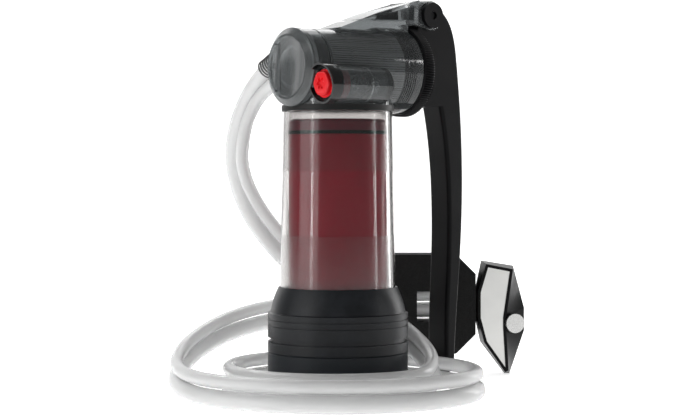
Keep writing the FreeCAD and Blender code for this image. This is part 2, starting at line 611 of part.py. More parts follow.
def bracket():
    over_nut = AXIS_Z + NUT_R + 0.6
    web_x = PIVOT_X - LEVER_BOSS_R - 0.6
    top = PIVOT_Z + BOSS_R
    foot = AXIS_Z + BARREL_R - 4
    nose_x = PIVOT_X - 61
    bend_x = PIVOT_X - 36
    wall_x = THREAD_END - 0.2
    web = plate_y([(nose_x - 1, foot), (nose_x, AXIS_Z + BARREL_R + 0.8), (bend_x, top - 8), (web_x, top),
                   (web_x, over_nut), (wall_x, over_nut), (wall_x, foot)], -CHEEK_OUT, CHEEK_OUT)
    side = [(web_x - 4, top - 0.9), (PIVOT_X, top), (PIVOT_X, PIVOT_Z - BOSS_R), (web_x - 4, over_nut)]
    cheeks = both_sides(side, CHEEK_IN, CHEEK_OUT)
    bosses = rod_y_pair(PIVOT_X, PIVOT_Z, BOSS_R, CHEEK_IN, CHEEK_OUT)
    hollow = [(nose_x + 11, top - 12.6), (bend_x, top - 10.0), (web_x - 4, top - 3.2),
              (web_x - 4, over_nut + 2.4), (bend_x, over_nut + 1.2)]
    pocket = both_sides(hollow, RIB_HALF, CHEEK_OUT + 1)
    solid_barrel = turned_x([(BARREL_BACK, 0)] + barrel_profile() + [(THREAD_END, 0)])
    body = web.fuse([cheeks] + bosses.Solids)
    body = body.cut([pocket, solid_barrel, rod_y(PIVOT_X, PIVOT_Z, PIN_R, 2 * CHEEK_OUT)])
    keep("pivot_bracket", body.removeSplitter())
    pin_half = CHEEK_OUT + DISC_T / 2
    pin = rod_y(PIVOT_X, PIVOT_Z, PIN_R, pin_half)
    keep("pivot_pin", pin)
    discs = []
    for side in (1, -1):
        start = Vec(PIVOT_X, side * CHEEK_OUT, PIVOT_Z)
        hole = Part.makeCylinder(DISC_HOLE_R, DISC_T, start, Y_DIR * side)
        discs.append(Part.makeCylinder(DISC_R, DISC_T, start, Y_DIR * side).cut([hole, pin]))
    keep("pin_caps", Part.makeCompound(discs))


# ---- relief valve -------------------------------------------------------------------------
def relief_valve():
    def turned(points):
        return turned_x(points, SLEEVE_Y, SLEEVE_Z)

    hood_x = SLEEVE_BACK - HOOD_OUT
    nose = SLEEVE_R - 5.7
    sleeve = turned([
        (hood_x, HOOD_R - HOOD_WALL), (hood_x, HOOD_R), (SLEEVE_BACK + HOOD_T - 1, HOOD_R),
        (SLEEVE_BACK + HOOD_T, SLEEVE_R), (SLEEVE_END - nose, SLEEVE_R), (SLEEVE_END, SLEEVE_R - nose),
        (SLEEVE_END, 0), (SLEEVE_WEB, 0), (SLEEVE_WEB, SLEEVE_BORE), (SLEEVE_BACK, SLEEVE_BORE),
        (SLEEVE_BACK, HOOD_R - HOOD_WALL)])
    lip_base = Vec(hood_x - 20, SLEEVE_Y - 2 * HOOD_R, SLEEVE_Z - 1.5 * HOOD_R)
    lip = Part.makeBox(20, 4 * HOOD_R, 3 * HOOD_R, lip_base)
    lip.rotate(Vec(hood_x, SLEEVE_Y, SLEEVE_Z + HOOD_R), Y_DIR, -HOOD_LEAN)
    keep("valve_sleeve", sleeve.cut([cap_room(), lip]))
    shank_r = SLEEVE_BORE - 1.4 * RUN_FIT
    shank_end = SLEEVE_BACK + SHANK_LENGTH
    face_x = SLEEVE_BACK - KNOB_OUT
    back_x = face_x + KNOB_T
    groove = SLEEVE_BACK + KNOB_GROOVE
    groove_end = groove + KNOB_GROOVE_T
    groove_r = shank_r - KNOB_GROOVE_DEPTH
    shank = turned([
        (back_x, 0), (back_x, shank_r), (groove, shank_r), (groove, groove_r), (groove_end, groove_r),
        (groove_end, shank_r), (shank_end, shank_r), (shank_end, 0)])
    notches = []
    for step in range(KNOB_NOTCHES):
        turn = 2 * math.pi * (step + 0.5) / KNOB_NOTCHES
        aside = (KNOB_R + 0.9) * math.cos(turn)
        up = (KNOB_R + 0.9) * math.sin(turn)
        notches.append(rod_x(face_x - 1, back_x, KNOB_NOTCH_R, SLEEVE_Y + aside, SLEEVE_Z + up))
    disc = rod_x(face_x, back_x, KNOB_R, SLEEVE_Y, SLEEVE_Z).cut(notches)
    dimple = rod_x(face_x - 1, face_x + 1.2, 0.4 * KNOB_R, SLEEVE_Y, SLEEVE_Z)
    keep("relief_knob", shank.fuse(disc).cut(dimple).removeSplitter())
    ring_r = KNOB_GROOVE_DEPTH / 2
    ring_base = Vec((groove + groove_end) / 2, SLEEVE_Y, SLEEVE_Z)
    keep("relief_oring", Part.makeTorus(shank_r - ring_r, ring_r, ring_base, X_DIR))
    head_x = STEM_END - STEM_HEAD_T
    keep("relief_stem", turned([
        (shank_end, 0), (shank_end, STEM_R), (head_x, STEM_R), (head_x, STEM_HEAD_R), (STEM_END, STEM_HEAD_R),
        (STEM_END, 0)]))
    keep("spring_seat", tube_x(SEAT_X - SEAT_T, SEAT_X, SLEEVE_BORE, STEM_R + 0.4, SLEEVE_Y, SLEEVE_Z))
    room = SEAT_X - SEAT_T - shank_end - 2 * SPRING_WIRE_R
    base = Vec(shank_end + SPRING_WIRE_R, SLEEVE_Y, SLEEVE_Z)
    keep("relief_spring", coil(SPRING_R, SPRING_WIRE_R, room / SPRING_TURNS, SPRING_TURNS, base, X_DIR))


# ---- hoses --------------------------------------------------------------------------------
# Each row is the middle of the twin hose and the direction from the purge hose to the inlet hose.
TWIN = [
    ((-20, 61.5, 141), (0, 0.93, 0.36)),
    ((-17, 69, 118), (0.05, 1, -0.05)),
    ((-6, 68, 94), (-0.3, 0.9, -0.35)),
    ((9, 59, 72), (-0.35, 0.6, -0.7)),
    ((27, 44, 54), (-0.1, 0.4, -0.9)),
    ((42, 23, 39), (0.1, 0.25, -0.96)),
    ((49, -3, 26), (0.15, 0, -0.99)),
    ((42, -29, 15), (0.05, 0, -1)),
    ((20, -48, 9), (0, 0, -1)),
    ((-8, -52, 9), (0, 0, -1)),
    ((-35, -40, 9), (0, 0, -1)),
    ((-52, -16, 9), (0, 0, -1)),
    ((-54, 14, 9), (0, 0, -1)),
    ((-42, 42, 9), (0, 0, -1)),
    ((-18, 62, 9), (0, 0, -1)),
    ((13, 68, 9), (0, 0, -1)),
    ((42, 55, 9), (0, 0, -1)),
    ((58, 27, 9), (0, 0, -1)),
    ((62, -8, 9), (0, 0, -1)),
    ((58, -42, 9), (0, 0, -1)),
    ((36, -69, 9), (0, 0, -1)),
    ((2, -78, 9), (0, 0, -1)),
    ((-34, -71, 9), (0, 0, -1)),
    ((-62, -48, 9), (0, 0, -1)),
    ((-79, -16, 9), (0, 0, -1)),
    ((-80, 20, 9), (0, 0, -1)),
    ((-67, 54, 12), (0, 0, -1)),
    ((-40, 80, 21), (0, 0, -1)),
    ((-5, 94, 31), (0, 0, -1)),
    ((32, 92, 37), (0, 0, -1)),
    ((64, 73, 39.5), (0, 0, -1)),
    ((91, 54, 40.5), (0, 0, -1)),
    ((109, 41, 41), (0, 0, -1)),
    ((124, 31, 41), (0, 0, -1)),
]
INLET_LEAD = (22, [])                   # straight out of the port, then points before the hoses meet
PURGE_LEAD = (15, [(-20, 49, 151)])


def hose_points(side, diameter, height, dip, lead):
    """Route of one hose: out of its port, then beside the other hose."""
    other = INLET_D + PURGE_D - diameter
    aside = side * (other + HOSE_GAP) / 2
    straight, places = lead
    points = [port_line(along, height, dip)[0] for along in (FLANGE_T, FLANGE_T + straight)]
    points += [Vec(*place) for place in places]
    for middle, across in TWIN:
        points.append(Vec(*middle) + Vec(*across).normalize() * aside)
    return points


def hose(name, points, diameter):
    """Round tube along straight runs joined by tangent arcs."""
    edges = []
    radii = []
    last = points[0]
    for before, corner, after in zip(points, points[1:], points[2:]):
        into = corner - before
        out = after - corner
        turn = into.getAngle(out)
        cut = 0.45 * min(into.Length, out.Length)
        radii.append(cut / math.tan(turn / 2))
        into.normalize()
        out.normalize()
        start = corner - into * cut
        end = corner + out * cut
        bisector = (out - into).normalize()
        centre = corner + bisector * (radii[-1] / math.cos(turn / 2))
        middle = centre - bisector * radii[-1]
        edges.append(Part.LineSegment(last, start).toShape())
        edges.append(Part.Arc(start, middle, end).toShape())
        last = end
    edges.append(Part.LineSegment(last, points[-1]).toShape())
    length = sum(edge.Length for edge in edges)
    heading = (points[1] - points[0]).normalize()
    section = Part.Wire(Part.makeCircle(diameter / 2, points[0], heading))
    solid = Part.Wire(edges).makePipeShell([section], True, True)
    expected = math.pi * diameter ** 2 / 4 * length
    print(name, "length", round(length, 1), "volume ratio", round(solid.Volume / expected, 4),
          "tightest radius", round(min(radii), 1), "at point", radii.index(min(radii)) + 1)
    print("  radii", [round(radius) for radius in radii])
    keep(name, solid)


def hoses():
    purge = hose_points(-1, PURGE_D, PURGE_Z, PURGE_DIP, PURGE_LEAD)
    inlet = hose_points(1, INLET_D, INLET_Z, INLET_DIP, INLET_LEAD)
    hose("inlet_hose", inlet, INLET_D)
    hose("purge_hose", purge, PURGE_D)

    spigot = port_rod(-4.5, 0, INLET_SPIGOT_R, INLET_Z, INLET_DIP)
    flange = port_rod(0, FLANGE_T, INLET_D / 2 + FLANGE_LIP, INLET_Z, INLET_DIP)
    way = port_rod(-7, 3, INLET_SPIGOT_R - 1.4, INLET_Z, INLET_DIP)
    keep("inlet_fitting", spigot.fuse(flange).cut(way))
    spigot = port_rod(-6, 0, PURGE_SPIGOT_R, PURGE_Z, PURGE_DIP)
    flange = port_rod(0, FLANGE_T, PURGE_D / 2 + PURGE_LIP, PURGE_Z, PURGE_DIP)
    way = port_rod(-7, 3, PURGE_SPIGOT_R - 1.2, PURGE_Z, PURGE_DIP)
    keep("purge_fitting", spigot.fuse(flange).cut(way))
    base, direction = port_line(FLANGE_T + BEND_WIRE_R, INLET_Z, INLET_DIP)
    coil_r = INLET_D / 2 + BEND_WIRE_R + BEND_GAP
    keep("strain_spring", coil(coil_r, BEND_WIRE_R, BEND_PITCH, BEND_TURNS, base, direction))


# ---- float and prefilter ------------------------------------------------------------------
def laid(across, away, up):
    """Point from distances across and away in the direction that the float lies, and a height."""
    place = FreeCAD.Rotation(Z_DIR, LAY_DEG).multVec(Vec(across, away, 0))
    return Vec(place.x, place.y, up)


def laid_block(points, near, far):
    """Prism whose (across, up) outline runs from one distance away to another."""
    wire = outline(points, lambda across, up: laid(across, near, up))
    return Part.Face(wire).extrude(laid(0, far - near, 0))


def rectangle(low, high):
    return [(low[0], low[1]), (high[0], low[1]), (high[0], high[1]), (low[0], high[1])]


def ring_at(points, base, offset, shrink):
    """Closed outline of (across, up) points, shrunk about its middle, at an offset away from base."""
    across = sum(point[0] for point in points) / len(points)
    up = sum(point[1] for point in points) / len(points)
    corners = []
    for x, z in points:
        place_x = base[0] + across + (x - across) * shrink
        corners.append(laid(place_x, base[1] + offset, up + (z - up) * shrink))
    return Part.makePolygon(corners + [corners[0]])


def hose_float():
    left, right = FLOAT_ACROSS - FLOAT_LEN / 2, FLOAT_ACROSS + FLOAT_LEN / 2
    low, high = FLOAT_Z - FLOAT_TALL / 2, FLOAT_Z + FLOAT_TALL / 2
    cut = FLOAT_CHAMFER
    near, far = FLOAT_AWAY - FLOAT_THICK / 2, FLOAT_AWAY + FLOAT_THICK / 2
    block = laid_block([
        (left + cut, low), (right - cut, low), (right, low + cut), (right, high - cut), (right - cut, high),
        (left + cut, high), (left, high - cut), (left, low + cut)], near, far)
    window_low = (WINDOW_ACROSS - WINDOW_LEN / 2, WINDOW_Z - WINDOW_TALL / 2)
    window_high = (WINDOW_ACROSS + WINDOW_LEN / 2, WINDOW_Z + WINDOW_TALL / 2)
    window = laid_block(rectangle(window_low, window_high), near - 1, far + 1)
    twin = parts["inlet_hose"].fuse(parts["purge_hose"])
    keep("hose_float", block.cut([window, twin]))


def prefilter():
    entry = Vec(*TWIN[-1][0])
    unturned = FreeCAD.Rotation(Z_DIR, -LAY_DEG).multVec(entry)
    base = (unturned.x, unturned.y)
    # Outlines of the faces and of the wider middle: distance across from the hose's entry, and height
    face = [(5.5, 64), (21, 61), (17, 33), (17, 28), (18.5, 3), (16.5, 2), (4.5, 19), (0.8, 33), (0.8, 48)]
    belly = [(3.5, 65.5), (22, 62.5), (28.5, 38), (28.5, 25), (20, 0), (17, 0), (3, 18.5), (0, 32), (0, 49)]
    half = CASE_HALF

    def case(inset, face_shrink, belly_shrink):
        rings = [ring_at(face, base, inset - half, face_shrink), ring_at(belly, base, 0, belly_shrink),
                 ring_at(face, base, half - inset, face_shrink)]
        return Part.makeLoft(rings, True, True)

    def slice_of_face(start, thickness):
        inside = Part.Face(ring_at(face, base, start, 1)).makeOffset2D(-CASE_BORDER)
        return inside.extrude(laid(0, thickness, 0))

    weight_axis = laid(0.3, -0.954, 0)
    weight_base = laid(base[0] + 20.8, base[1] - 8, 30) - weight_axis * 4
    weight = Part.makeCylinder(WEIGHT_R, WEIGHT_T, weight_base, weight_axis)
    collar = Part.makeBox(COLLAR_LENGTH, COLLAR_WIDE, COLLAR_TALL, Vec(0, -COLLAR_WIDE / 2, -COLLAR_TALL / 2))
    collar.Placement = FreeCAD.Placement(entry, FreeCAD.Rotation(X_DIR, laid(1, 0, 0)))
    deep = CASE_WALL + 1.4
    windows = [slice_of_face(-half - 1, deep), slice_of_face(half + 1 - deep, deep)]
    hollow = case(CASE_WALL, CASE_HOLLOW, 0.86)
    keep("prefilter_frame", case(0, 1, 1).cut([hollow] + windows + [weight, collar]))
    gauzes = [slice_of_face(GAUZE_T - half, GAUZE_T), slice_of_face(half - 2 * GAUZE_T, GAUZE_T)]
    keep("prefilter_mesh", Part.makeCompound(gauzes))
    keep("prefilter_weight", weight)
    keep("prefilter_inlet", collar)


def main():
    bottle_end()
    cartridge()
    pump_head()
    closures()
    piston_group()
    lever()
    bracket()
    relief_valve()
    hoses()
    hose_float()
    prefilter()
    for name, shape in parts.items():
        if not shape.isValid() or not shape.Solids:
            print("CHECK", name, shape.isValid(), len(shape.Solids))
        shape.exportStep("parts/" + name + ".step")
    print(len(parts), "nodes")


main()
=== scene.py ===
"""Pump water filter: the finished pieces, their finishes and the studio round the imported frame."""
import json
import math

import bmesh
import bpy
import numpy as np
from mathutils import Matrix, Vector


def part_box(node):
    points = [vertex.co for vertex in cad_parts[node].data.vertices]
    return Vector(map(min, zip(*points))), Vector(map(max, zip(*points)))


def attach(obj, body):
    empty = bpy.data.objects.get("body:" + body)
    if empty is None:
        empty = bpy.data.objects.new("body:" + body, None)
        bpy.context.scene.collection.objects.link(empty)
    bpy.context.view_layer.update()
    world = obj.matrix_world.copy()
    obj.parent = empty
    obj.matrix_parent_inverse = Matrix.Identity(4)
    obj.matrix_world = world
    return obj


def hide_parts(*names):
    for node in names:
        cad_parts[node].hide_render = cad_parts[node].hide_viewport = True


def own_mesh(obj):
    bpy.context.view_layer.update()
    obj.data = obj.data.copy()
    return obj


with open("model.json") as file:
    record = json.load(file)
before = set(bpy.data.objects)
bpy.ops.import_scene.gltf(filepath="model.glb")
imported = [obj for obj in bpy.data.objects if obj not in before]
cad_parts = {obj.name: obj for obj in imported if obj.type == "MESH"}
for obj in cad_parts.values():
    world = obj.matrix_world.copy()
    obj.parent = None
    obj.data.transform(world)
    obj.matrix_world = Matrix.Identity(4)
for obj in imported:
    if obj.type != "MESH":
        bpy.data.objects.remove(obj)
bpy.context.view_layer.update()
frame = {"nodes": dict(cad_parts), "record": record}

bl_info = {
    "name": "Pump Water Filter",
    "version": (1, 0, 0),
    "blender": (4, 5, 0),
    "location": "3D View > Sidebar > Water Filter",
    "description": "Builds a hand-pump water filter with its hoses, float and prefilter",
    "category": "Add Mesh",
}

MM = 0.001
ROOT = "filter_body"
ALONG_X, ALONG_Y, ALONG_Z = (1, 0, 0), (0, 1, 0), (0, 0, 1)
BARREL_Z = 0.170
SLEEVE_Y = -0.026
SLEEVE_Z = 0.1606
BARREL = ((0, 0, BARREL_Z), ALONG_X)
SLEEVE = ((0, SLEEVE_Y, SLEEVE_Z), ALONG_X)
PIVOT = ((0.055, 0, 0.200), ALONG_Y)
UPRIGHT = ((0, 0, 0), ALONG_Z)

# Middle of the twin hose, and the direction from the purge hose to the inlet hose beside it.
TWIN = [
    ((-0.020, 0.0615, 0.141), (0, 0.93, 0.36)),
    ((-0.017, 0.069, 0.118), (0.05, 1, -0.05)),
    ((-0.006, 0.068, 0.094), (-0.3, 0.9, -0.35)),
    ((0.009, 0.059, 0.072), (-0.35, 0.6, -0.7)),
    ((0.027, 0.044, 0.054), (-0.1, 0.4, -0.9)),
    ((0.042, 0.023, 0.039), (0.1, 0.25, -0.96)),
    ((0.049, -0.003, 0.026), (0.15, 0, -0.99)),
    ((0.042, -0.029, 0.015), (0.05, 0, -1)),
    ((0.020, -0.048, 0.009), (0, 0, -1)),
    ((-0.008, -0.052, 0.009), (0, 0, -1)),
    ((-0.035, -0.040, 0.009), (0, 0, -1)),
    ((-0.052, -0.016, 0.009), (0, 0, -1)),
    ((-0.054, 0.014, 0.009), (0, 0, -1)),
    ((-0.042, 0.042, 0.009), (0, 0, -1)),
    ((-0.018, 0.062, 0.009), (0, 0, -1)),
    ((0.013, 0.068, 0.009), (0, 0, -1)),
    ((0.042, 0.055, 0.009), (0, 0, -1)),
    ((0.058, 0.027, 0.009), (0, 0, -1)),
    ((0.062, -0.008, 0.009), (0, 0, -1)),
    ((0.058, -0.042, 0.009), (0, 0, -1)),
    ((0.036, -0.069, 0.009), (0, 0, -1)),
    ((0.002, -0.078, 0.009), (0, 0, -1)),
    ((-0.034, -0.071, 0.009), (0, 0, -1)),
    ((-0.062, -0.048, 0.009), (0, 0, -1)),
    ((-0.079, -0.016, 0.009), (0, 0, -1)),
    ((-0.080, 0.020, 0.009), (0, 0, -1)),
    ((-0.067, 0.054, 0.012), (0, 0, -1)),
    ((-0.040, 0.080, 0.021), (0, 0, -1)),
    ((-0.005, 0.094, 0.031), (0, 0, -1)),
    ((0.032, 0.092, 0.037), (0, 0, -1)),
    ((0.064, 0.073, 0.0395), (0, 0, -1)),
    ((0.091, 0.054, 0.0405), (0, 0, -1)),
    ((0.109, 0.041, 0.041), (0, 0, -1)),
    ((0.124, 0.031, 0.041), (0, 0, -1)),
]
PORT = (-0.020, 0.022)          # x and y of both ports' mouths
INLET_D = 0.009
PURGE_D = 0.007
HOSE_GAP = 0.0006
FLANGE_T = 0.002


# ---- surfaces ---------------------------------------------------------------------------------
def quads(rows, columns, wrap_rows, wrap_columns):
    """Corner numbers of the quads of a grid: each point with the next in its row and in its column."""
    row = np.arange(rows if wrap_rows else rows - 1)
    column = np.arange(columns if wrap_columns else columns - 1)
    i, j = (part.ravel() for part in np.meshgrid(row, column, indexing="ij"))
    i_next, j_next = (i + 1) % rows, (j + 1) % columns
    here, beyond = i * columns, i_next * columns
    return np.stack([here + j, here + j_next, beyond + j_next, beyond + j], 1)


def mesh_of(name, grids):
    """One mesh from grids of points. Each entry is (points, wrap_rows, wrap_columns)."""
    corners, faces, start = [], [], 0
    for points, wrap_rows, wrap_columns in grids:
        rows, columns = points.shape[:2]
        corners.append(points.reshape(-1, 3))
        faces.append(quads(rows, columns, wrap_rows, wrap_columns) + start)
        start += rows * columns
    corners, faces = np.concatenate(corners), np.concatenate(faces)
    mesh = bpy.data.meshes.new(name)
    mesh.vertices.add(len(corners))
    mesh.vertices.foreach_set("co", corners.astype(np.float32).ravel())
    mesh.loops.add(faces.size)
    mesh.loops.foreach_set("vertex_index", faces.ravel().astype(np.int32))
    mesh.polygons.add(len(faces))
    mesh.polygons.foreach_set("loop_start", np.arange(0, faces.size, 4, dtype=np.int32))
    mesh.update(calc_edges=True)
    mesh.validate()
    return mesh


def tidy_mesh(mesh, merge=2e-6, flat_deg=None):
    """Merges doubles, joins coplanar faces if asked, and turns every face outwards."""
    work = bmesh.new()
    work.from_mesh(mesh)
    bmesh.ops.remove_doubles(work, verts=work.verts, dist=merge)
    bmesh.ops.dissolve_degenerate(work, edges=work.edges, dist=merge)
    if flat_deg is not None:
        bmesh.ops.dissolve_limit(work, angle_limit=math.radians(flat_deg), verts=work.verts, edges=work.edges)
    bmesh.ops.recalc_face_normals(work, faces=work.faces)
    work.to_mesh(mesh)
    work.free()


def shade(mesh, degrees):
    """Smooth shading, with the edges sharper than an angle left sharp."""
    mesh.polygons.foreach_set("use_smooth", np.ones(len(mesh.polygons), bool))
    mesh.set_sharp_from_angle(angle=math.radians(degrees))


def true_round(mesh, axes):
    """Exact normals for the faces that lie on a surface of revolution about one of the axes.

    Each axis is (point, direction a). A face belongs to it if its normal has no part along the
    turning direction and its corners keep to the cone r cos t + x sin t = constant, where r and x
    are a corner's distances from the axis and along it. Such a corner's normal is
    (radial direction) cos t + a sin t.
    """
    count, corners = len(mesh.polygons), len(mesh.loops)
    middle, normal = np.zeros(count * 3), np.zeros(count * 3)
    mesh.polygons.foreach_get("center", middle)
    mesh.polygons.foreach_get("normal", normal)
    middle, normal = middle.reshape(-1, 3), normal.reshape(-1, 3)
    per_face, vertex = np.zeros(count, np.int32), np.zeros(corners, np.int32)
    mesh.polygons.foreach_get("loop_total", per_face)
    mesh.loops.foreach_get("vertex_index", vertex)
    face = np.repeat(np.arange(count), per_face)
    place = np.zeros(len(mesh.vertices) * 3)
    mesh.vertices.foreach_get("co", place)
    place = place.reshape(-1, 3)[vertex]
    result = np.zeros(corners * 3)
    mesh.corner_normals.foreach_get("vector", result)
    result = result.reshape(-1, 3)
    free = np.ones(count, bool)
    for point, direction in axes:
        point, direction = np.asarray(point, float), np.asarray(direction, float)
        rel = middle - point
        along = rel @ direction
        radial = rel - along[:, None] * direction
        radius = np.linalg.norm(radial, axis=1) + 1e-9
        lean, out = normal @ direction, np.sum(normal * radial, axis=1) / radius
        turned_on = (1 - lean ** 2 - out ** 2 < 0.006) & (np.abs(out) > 0.08) & (radius > 0.001) & free
        corner = place - point
        corner_along = corner @ direction
        corner_radial = corner - corner_along[:, None] * direction
        corner_radius = np.linalg.norm(corner_radial, axis=1) + 1e-9
        drift = np.abs((corner_radius - radius[face]) * out[face] + (corner_along - along[face]) * lean[face])
        worst = np.zeros(count)
        np.maximum.at(worst, face, drift)
        turned_on &= worst < 0.00035
        pick = turned_on[face]
        lean_of, side = lean[face][pick], np.sign(out[face][pick])
        flat = np.sqrt(np.clip(1 - lean_of ** 2, 0, 1)) * side
        outward = (corner_radial / corner_radius[:, None])[pick]
        result[pick] = outward * flat[:, None] + lean_of[:, None] * direction
        free &= ~turned_on
    mesh.normals_split_custom_set(result.tolist())


def piece(name, mesh, finish, body, nodes=(), smooth=35, bevel=0.0, segments=2):
    """Adds a mesh as a piece of the filter: its finish, its body and the nodes that it stands for."""
    shade(mesh, smooth)
    thing = bpy.data.objects.new(name, mesh)
    bpy.context.scene.collection.objects.link(thing)
    mesh.materials.clear()
    mesh.materials.append(finish)
    if bevel:
        edge = thing.modifiers.new("rounded edges", "BEVEL")
        edge.width = bevel
        edge.segments = segments
        edge.limit_method = "ANGLE"
        edge.angle_limit = math.radians(smooth)
        edge.harden_normals = False
        thing.modifiers.new("even shading", "WEIGHTED_NORMAL").keep_sharp = True
    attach(thing, body)
    if nodes:
        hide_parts(*nodes)
    return thing


def turned(profile, sides, axis="z", centre=(0.0, 0.0)):
    """Lathe surface: each (along, radius) point is swept round the axis, x = radius cos, y = radius sin.

    The profile is closed, so the grid wraps both ways. centre is (y, z) for an axis along X.
    """
    along, radius = np.asarray(profile, float).T * MM
    turn = np.linspace(0, 2 * np.pi, sides, endpoint=False)
    aside = radius[:, None] * np.cos(turn)
    up = radius[:, None] * np.sin(turn)
    level = np.repeat(along[:, None], sides, axis=1)
    if axis == "z":
        return np.stack([aside, up, level], 2), True, True
    return np.stack([level, centre[0] + aside, centre[1] + up], 2), True, True


def tube(path, across, outer, inner=0.0, sides=20):
    """Round tube along path: each ring is centre + r (cos a side + sin a other).

    side is across made square to the path's direction and other is their cross product. With an
    inner radius the outer wall runs on into the inner one, so the shell is closed.
    """
    heading = np.gradient(path, axis=0)
    heading /= np.linalg.norm(heading, axis=1, keepdims=True)
    side = across - heading * np.sum(across * heading, axis=1, keepdims=True)
    side /= np.linalg.norm(side, axis=1, keepdims=True)
    other = np.cross(heading, side)
    turn = np.linspace(0, 2 * np.pi, sides, endpoint=False)
    ring = side[:, None] * np.cos(turn)[None, :, None] + other[:, None] * np.sin(turn)[None, :, None]
    skin = path[:, None] + ring * outer
    if inner:
        return np.concatenate([skin, path[::-1, None] + ring[::-1] * inner]), True, True
    ends = [np.repeat(path[:1, None], sides, 1), skin, np.repeat(path[-1:, None], sides, 1)]
    return np.concatenate(ends), False, True


def helix(base, axis, aside, radius, pitch, turns, dead=0.0, per_turn=28):
    """Points of a spring: base + axis * rise + radius (cos t aside + sin t other).

    The rise follows the pitch, eased so that dead turns at both ends lie close. Also gives the
    outward direction at each point.
    """
    axis, aside = np.asarray(axis, float), np.asarray(aside, float)
    other = np.cross(axis, aside)
    count = np.linspace(0, turns, int(turns * per_turn))
    out = np.cos(2 * np.pi * count)[:, None] * aside + np.sin(2 * np.pi * count)[:, None] * other
    rise = pitch * np.clip((count - dead) / max(turns - 2 * dead, 1e-6), 0, 1) * turns
    return np.asarray(base) + axis * rise[:, None] + out * radius, out


def softened(name, node, finish, body, bevel=0.0003, smooth=32, flat_deg=1.0, axes=()):
    """A finished copy of a frame node: doubles merged, flat faces joined, and its edges rounded.

    With axes, its round faces get exact normals instead of rounded edges.
    """
    mesh = frame["nodes"][node].data.copy()
    mesh.name = name
    tidy_mesh(mesh, merge=1e-5, flat_deg=flat_deg)
    thing = piece(name, mesh, finish, body, (node,), smooth, 0.0 if axes else bevel)
    if axes:
        true_round(mesh, axes)
    return thing


# ---- finishes ---------------------------------------------------------------------------------
class Value:
    """A shader socket on which Python's arithmetic works; each sum adds one Math node."""

    def __init__(self, finish, socket):
        self.finish = finish
        self.socket = socket

    def math(self, operation, first, second=None):
        node = self.finish.node("ShaderNodeMath", {"operation": operation}, {0: first, 1: second})
        return Value(self.finish, node.outputs[0])

    def __add__(self, other):
        return self.math("ADD", self, other)

    def __sub__(self, other):
        return self.math("SUBTRACT", self, other)

    def __rsub__(self, other):
        return self.math("SUBTRACT", other, self)

    def __mul__(self, other):
        return self.math("MULTIPLY", self, other)

    __radd__ = __add__
    __rmul__ = __mul__

    def between(self, low, high):
        """0 at low, 1 at high, smooth between."""
        settings = {"interpolation_type": "SMOOTHSTEP"}
        sockets = {"Value": self, "From Min": low, "From Max": high}
        return Value(self.finish, self.finish.node("ShaderNodeMapRange", settings, sockets).outputs[0])

    def absolute(self):
        return self.math("ABSOLUTE", self)


class Finish:
    """A material on the Principled shader, and the nodes that feed it."""

    def __init__(self, name, **constants):
        self.material = bpy.data.materials.new(name)
        self.material.use_nodes = True
        self.tree = self.material.node_tree
        self.shader = self.tree.nodes["Principled BSDF"]
        for socket, value in constants.items():
            self.shader.inputs[socket.replace("_", " ")].default_value = value
        self.place = self.node("ShaderNodeTexCoord").outputs["Object"]

    def node(self, kind, settings=None, sockets=None):
        """Adds a node: its settings first, then a value or a link for each of its sockets."""
        node = self.tree.nodes.new(kind)
        for key, value in (settings or {}).items():
            setattr(node, key, value)
        for key, value in (sockets or {}).items():
            self.feed(node.inputs[key], value)
        return node

    def feed(self, socket, value):
        if value is None:
            return
        if isinstance(value, Value):
            value = value.socket
        if isinstance(value, bpy.types.NodeSocket):
            self.tree.links.new(value, socket)
        else:
            socket.default_value = value

    def stretched(self, scale):
        return self.node("ShaderNodeMapping", None, {"Vector": self.place, "Scale": scale}).outputs[0]

    def noise(self, scale, detail=3.0, rough=0.5, vector=None):
        sockets = {"Vector": vector or self.place, "Scale": scale, "Detail": detail, "Roughness": rough}
        return Value(self, self.node("ShaderNodeTexNoise", None, sockets).outputs[0])

    def cells(self, scale, feature="F1"):
        sockets = {"Vector": self.place, "Scale": scale}
        return Value(self, self.node("ShaderNodeTexVoronoi", {"feature": feature}, sockets).outputs[0])

    def coordinate(self, letter):
        split = self.node("ShaderNodeSeparateXYZ", None, {0: self.place})
        return Value(self, split.outputs[letter])

    def blend(self, share, first, second):
        """Colour between two colours."""
        node = self.node("ShaderNodeMix", {"data_type": "RGBA"}, {"Factor": share})
        self.feed(node.inputs[6], first)
        self.feed(node.inputs[7], second)
        return node.outputs[2]

    def math(self, operation, first, second):
        return Value(self, None).math(operation, first, second)

    def colour(self, value):
        self.feed(self.shader.inputs["Base Color"], value)

    def rough(self, value):
        self.feed(self.shader.inputs["Roughness"], value)

    def bump(self, height, strength, distance):
        sockets = {"Height": height, "Strength": strength, "Distance": distance}
        self.feed(self.shader.inputs["Normal"], self.node("ShaderNodeBump", None, sockets).outputs[0])


def rgb(colour, share=1.0):
    """A colour property as a shader colour, darkened or lightened by a share."""
    return (*(min(part * share, 1.0) for part in colour[:3]), 1.0)


def moulded(name, colour, rough=0.42, grain=0.35, scale=1400.0, scuff=0.12, shine=0.5):
    """Moulded plastic: fine spark-eroded grain, slow shine variation and pale scuffs."""
    finish = Finish(name, IOR=1.45, Specular_IOR_Level=shine)
    fine = finish.noise(scale, 2.0)
    slow = finish.noise(45.0, 4.0, 0.6)
    marks = finish.noise(320.0, 6.0, 0.7, finish.stretched((1.0, 1.0, 0.12))).between(0.62, 0.8)
    finish.colour(finish.blend(slow * 0.5 + marks * scuff, rgb(colour, 0.85), rgb(colour, 1.35)))
    finish.rough(slow * 0.14 + marks * 0.1 + (rough - 0.07))
    finish.bump(fine * 0.7 + slow * 0.3, grain, 0.00012)
    return finish.material


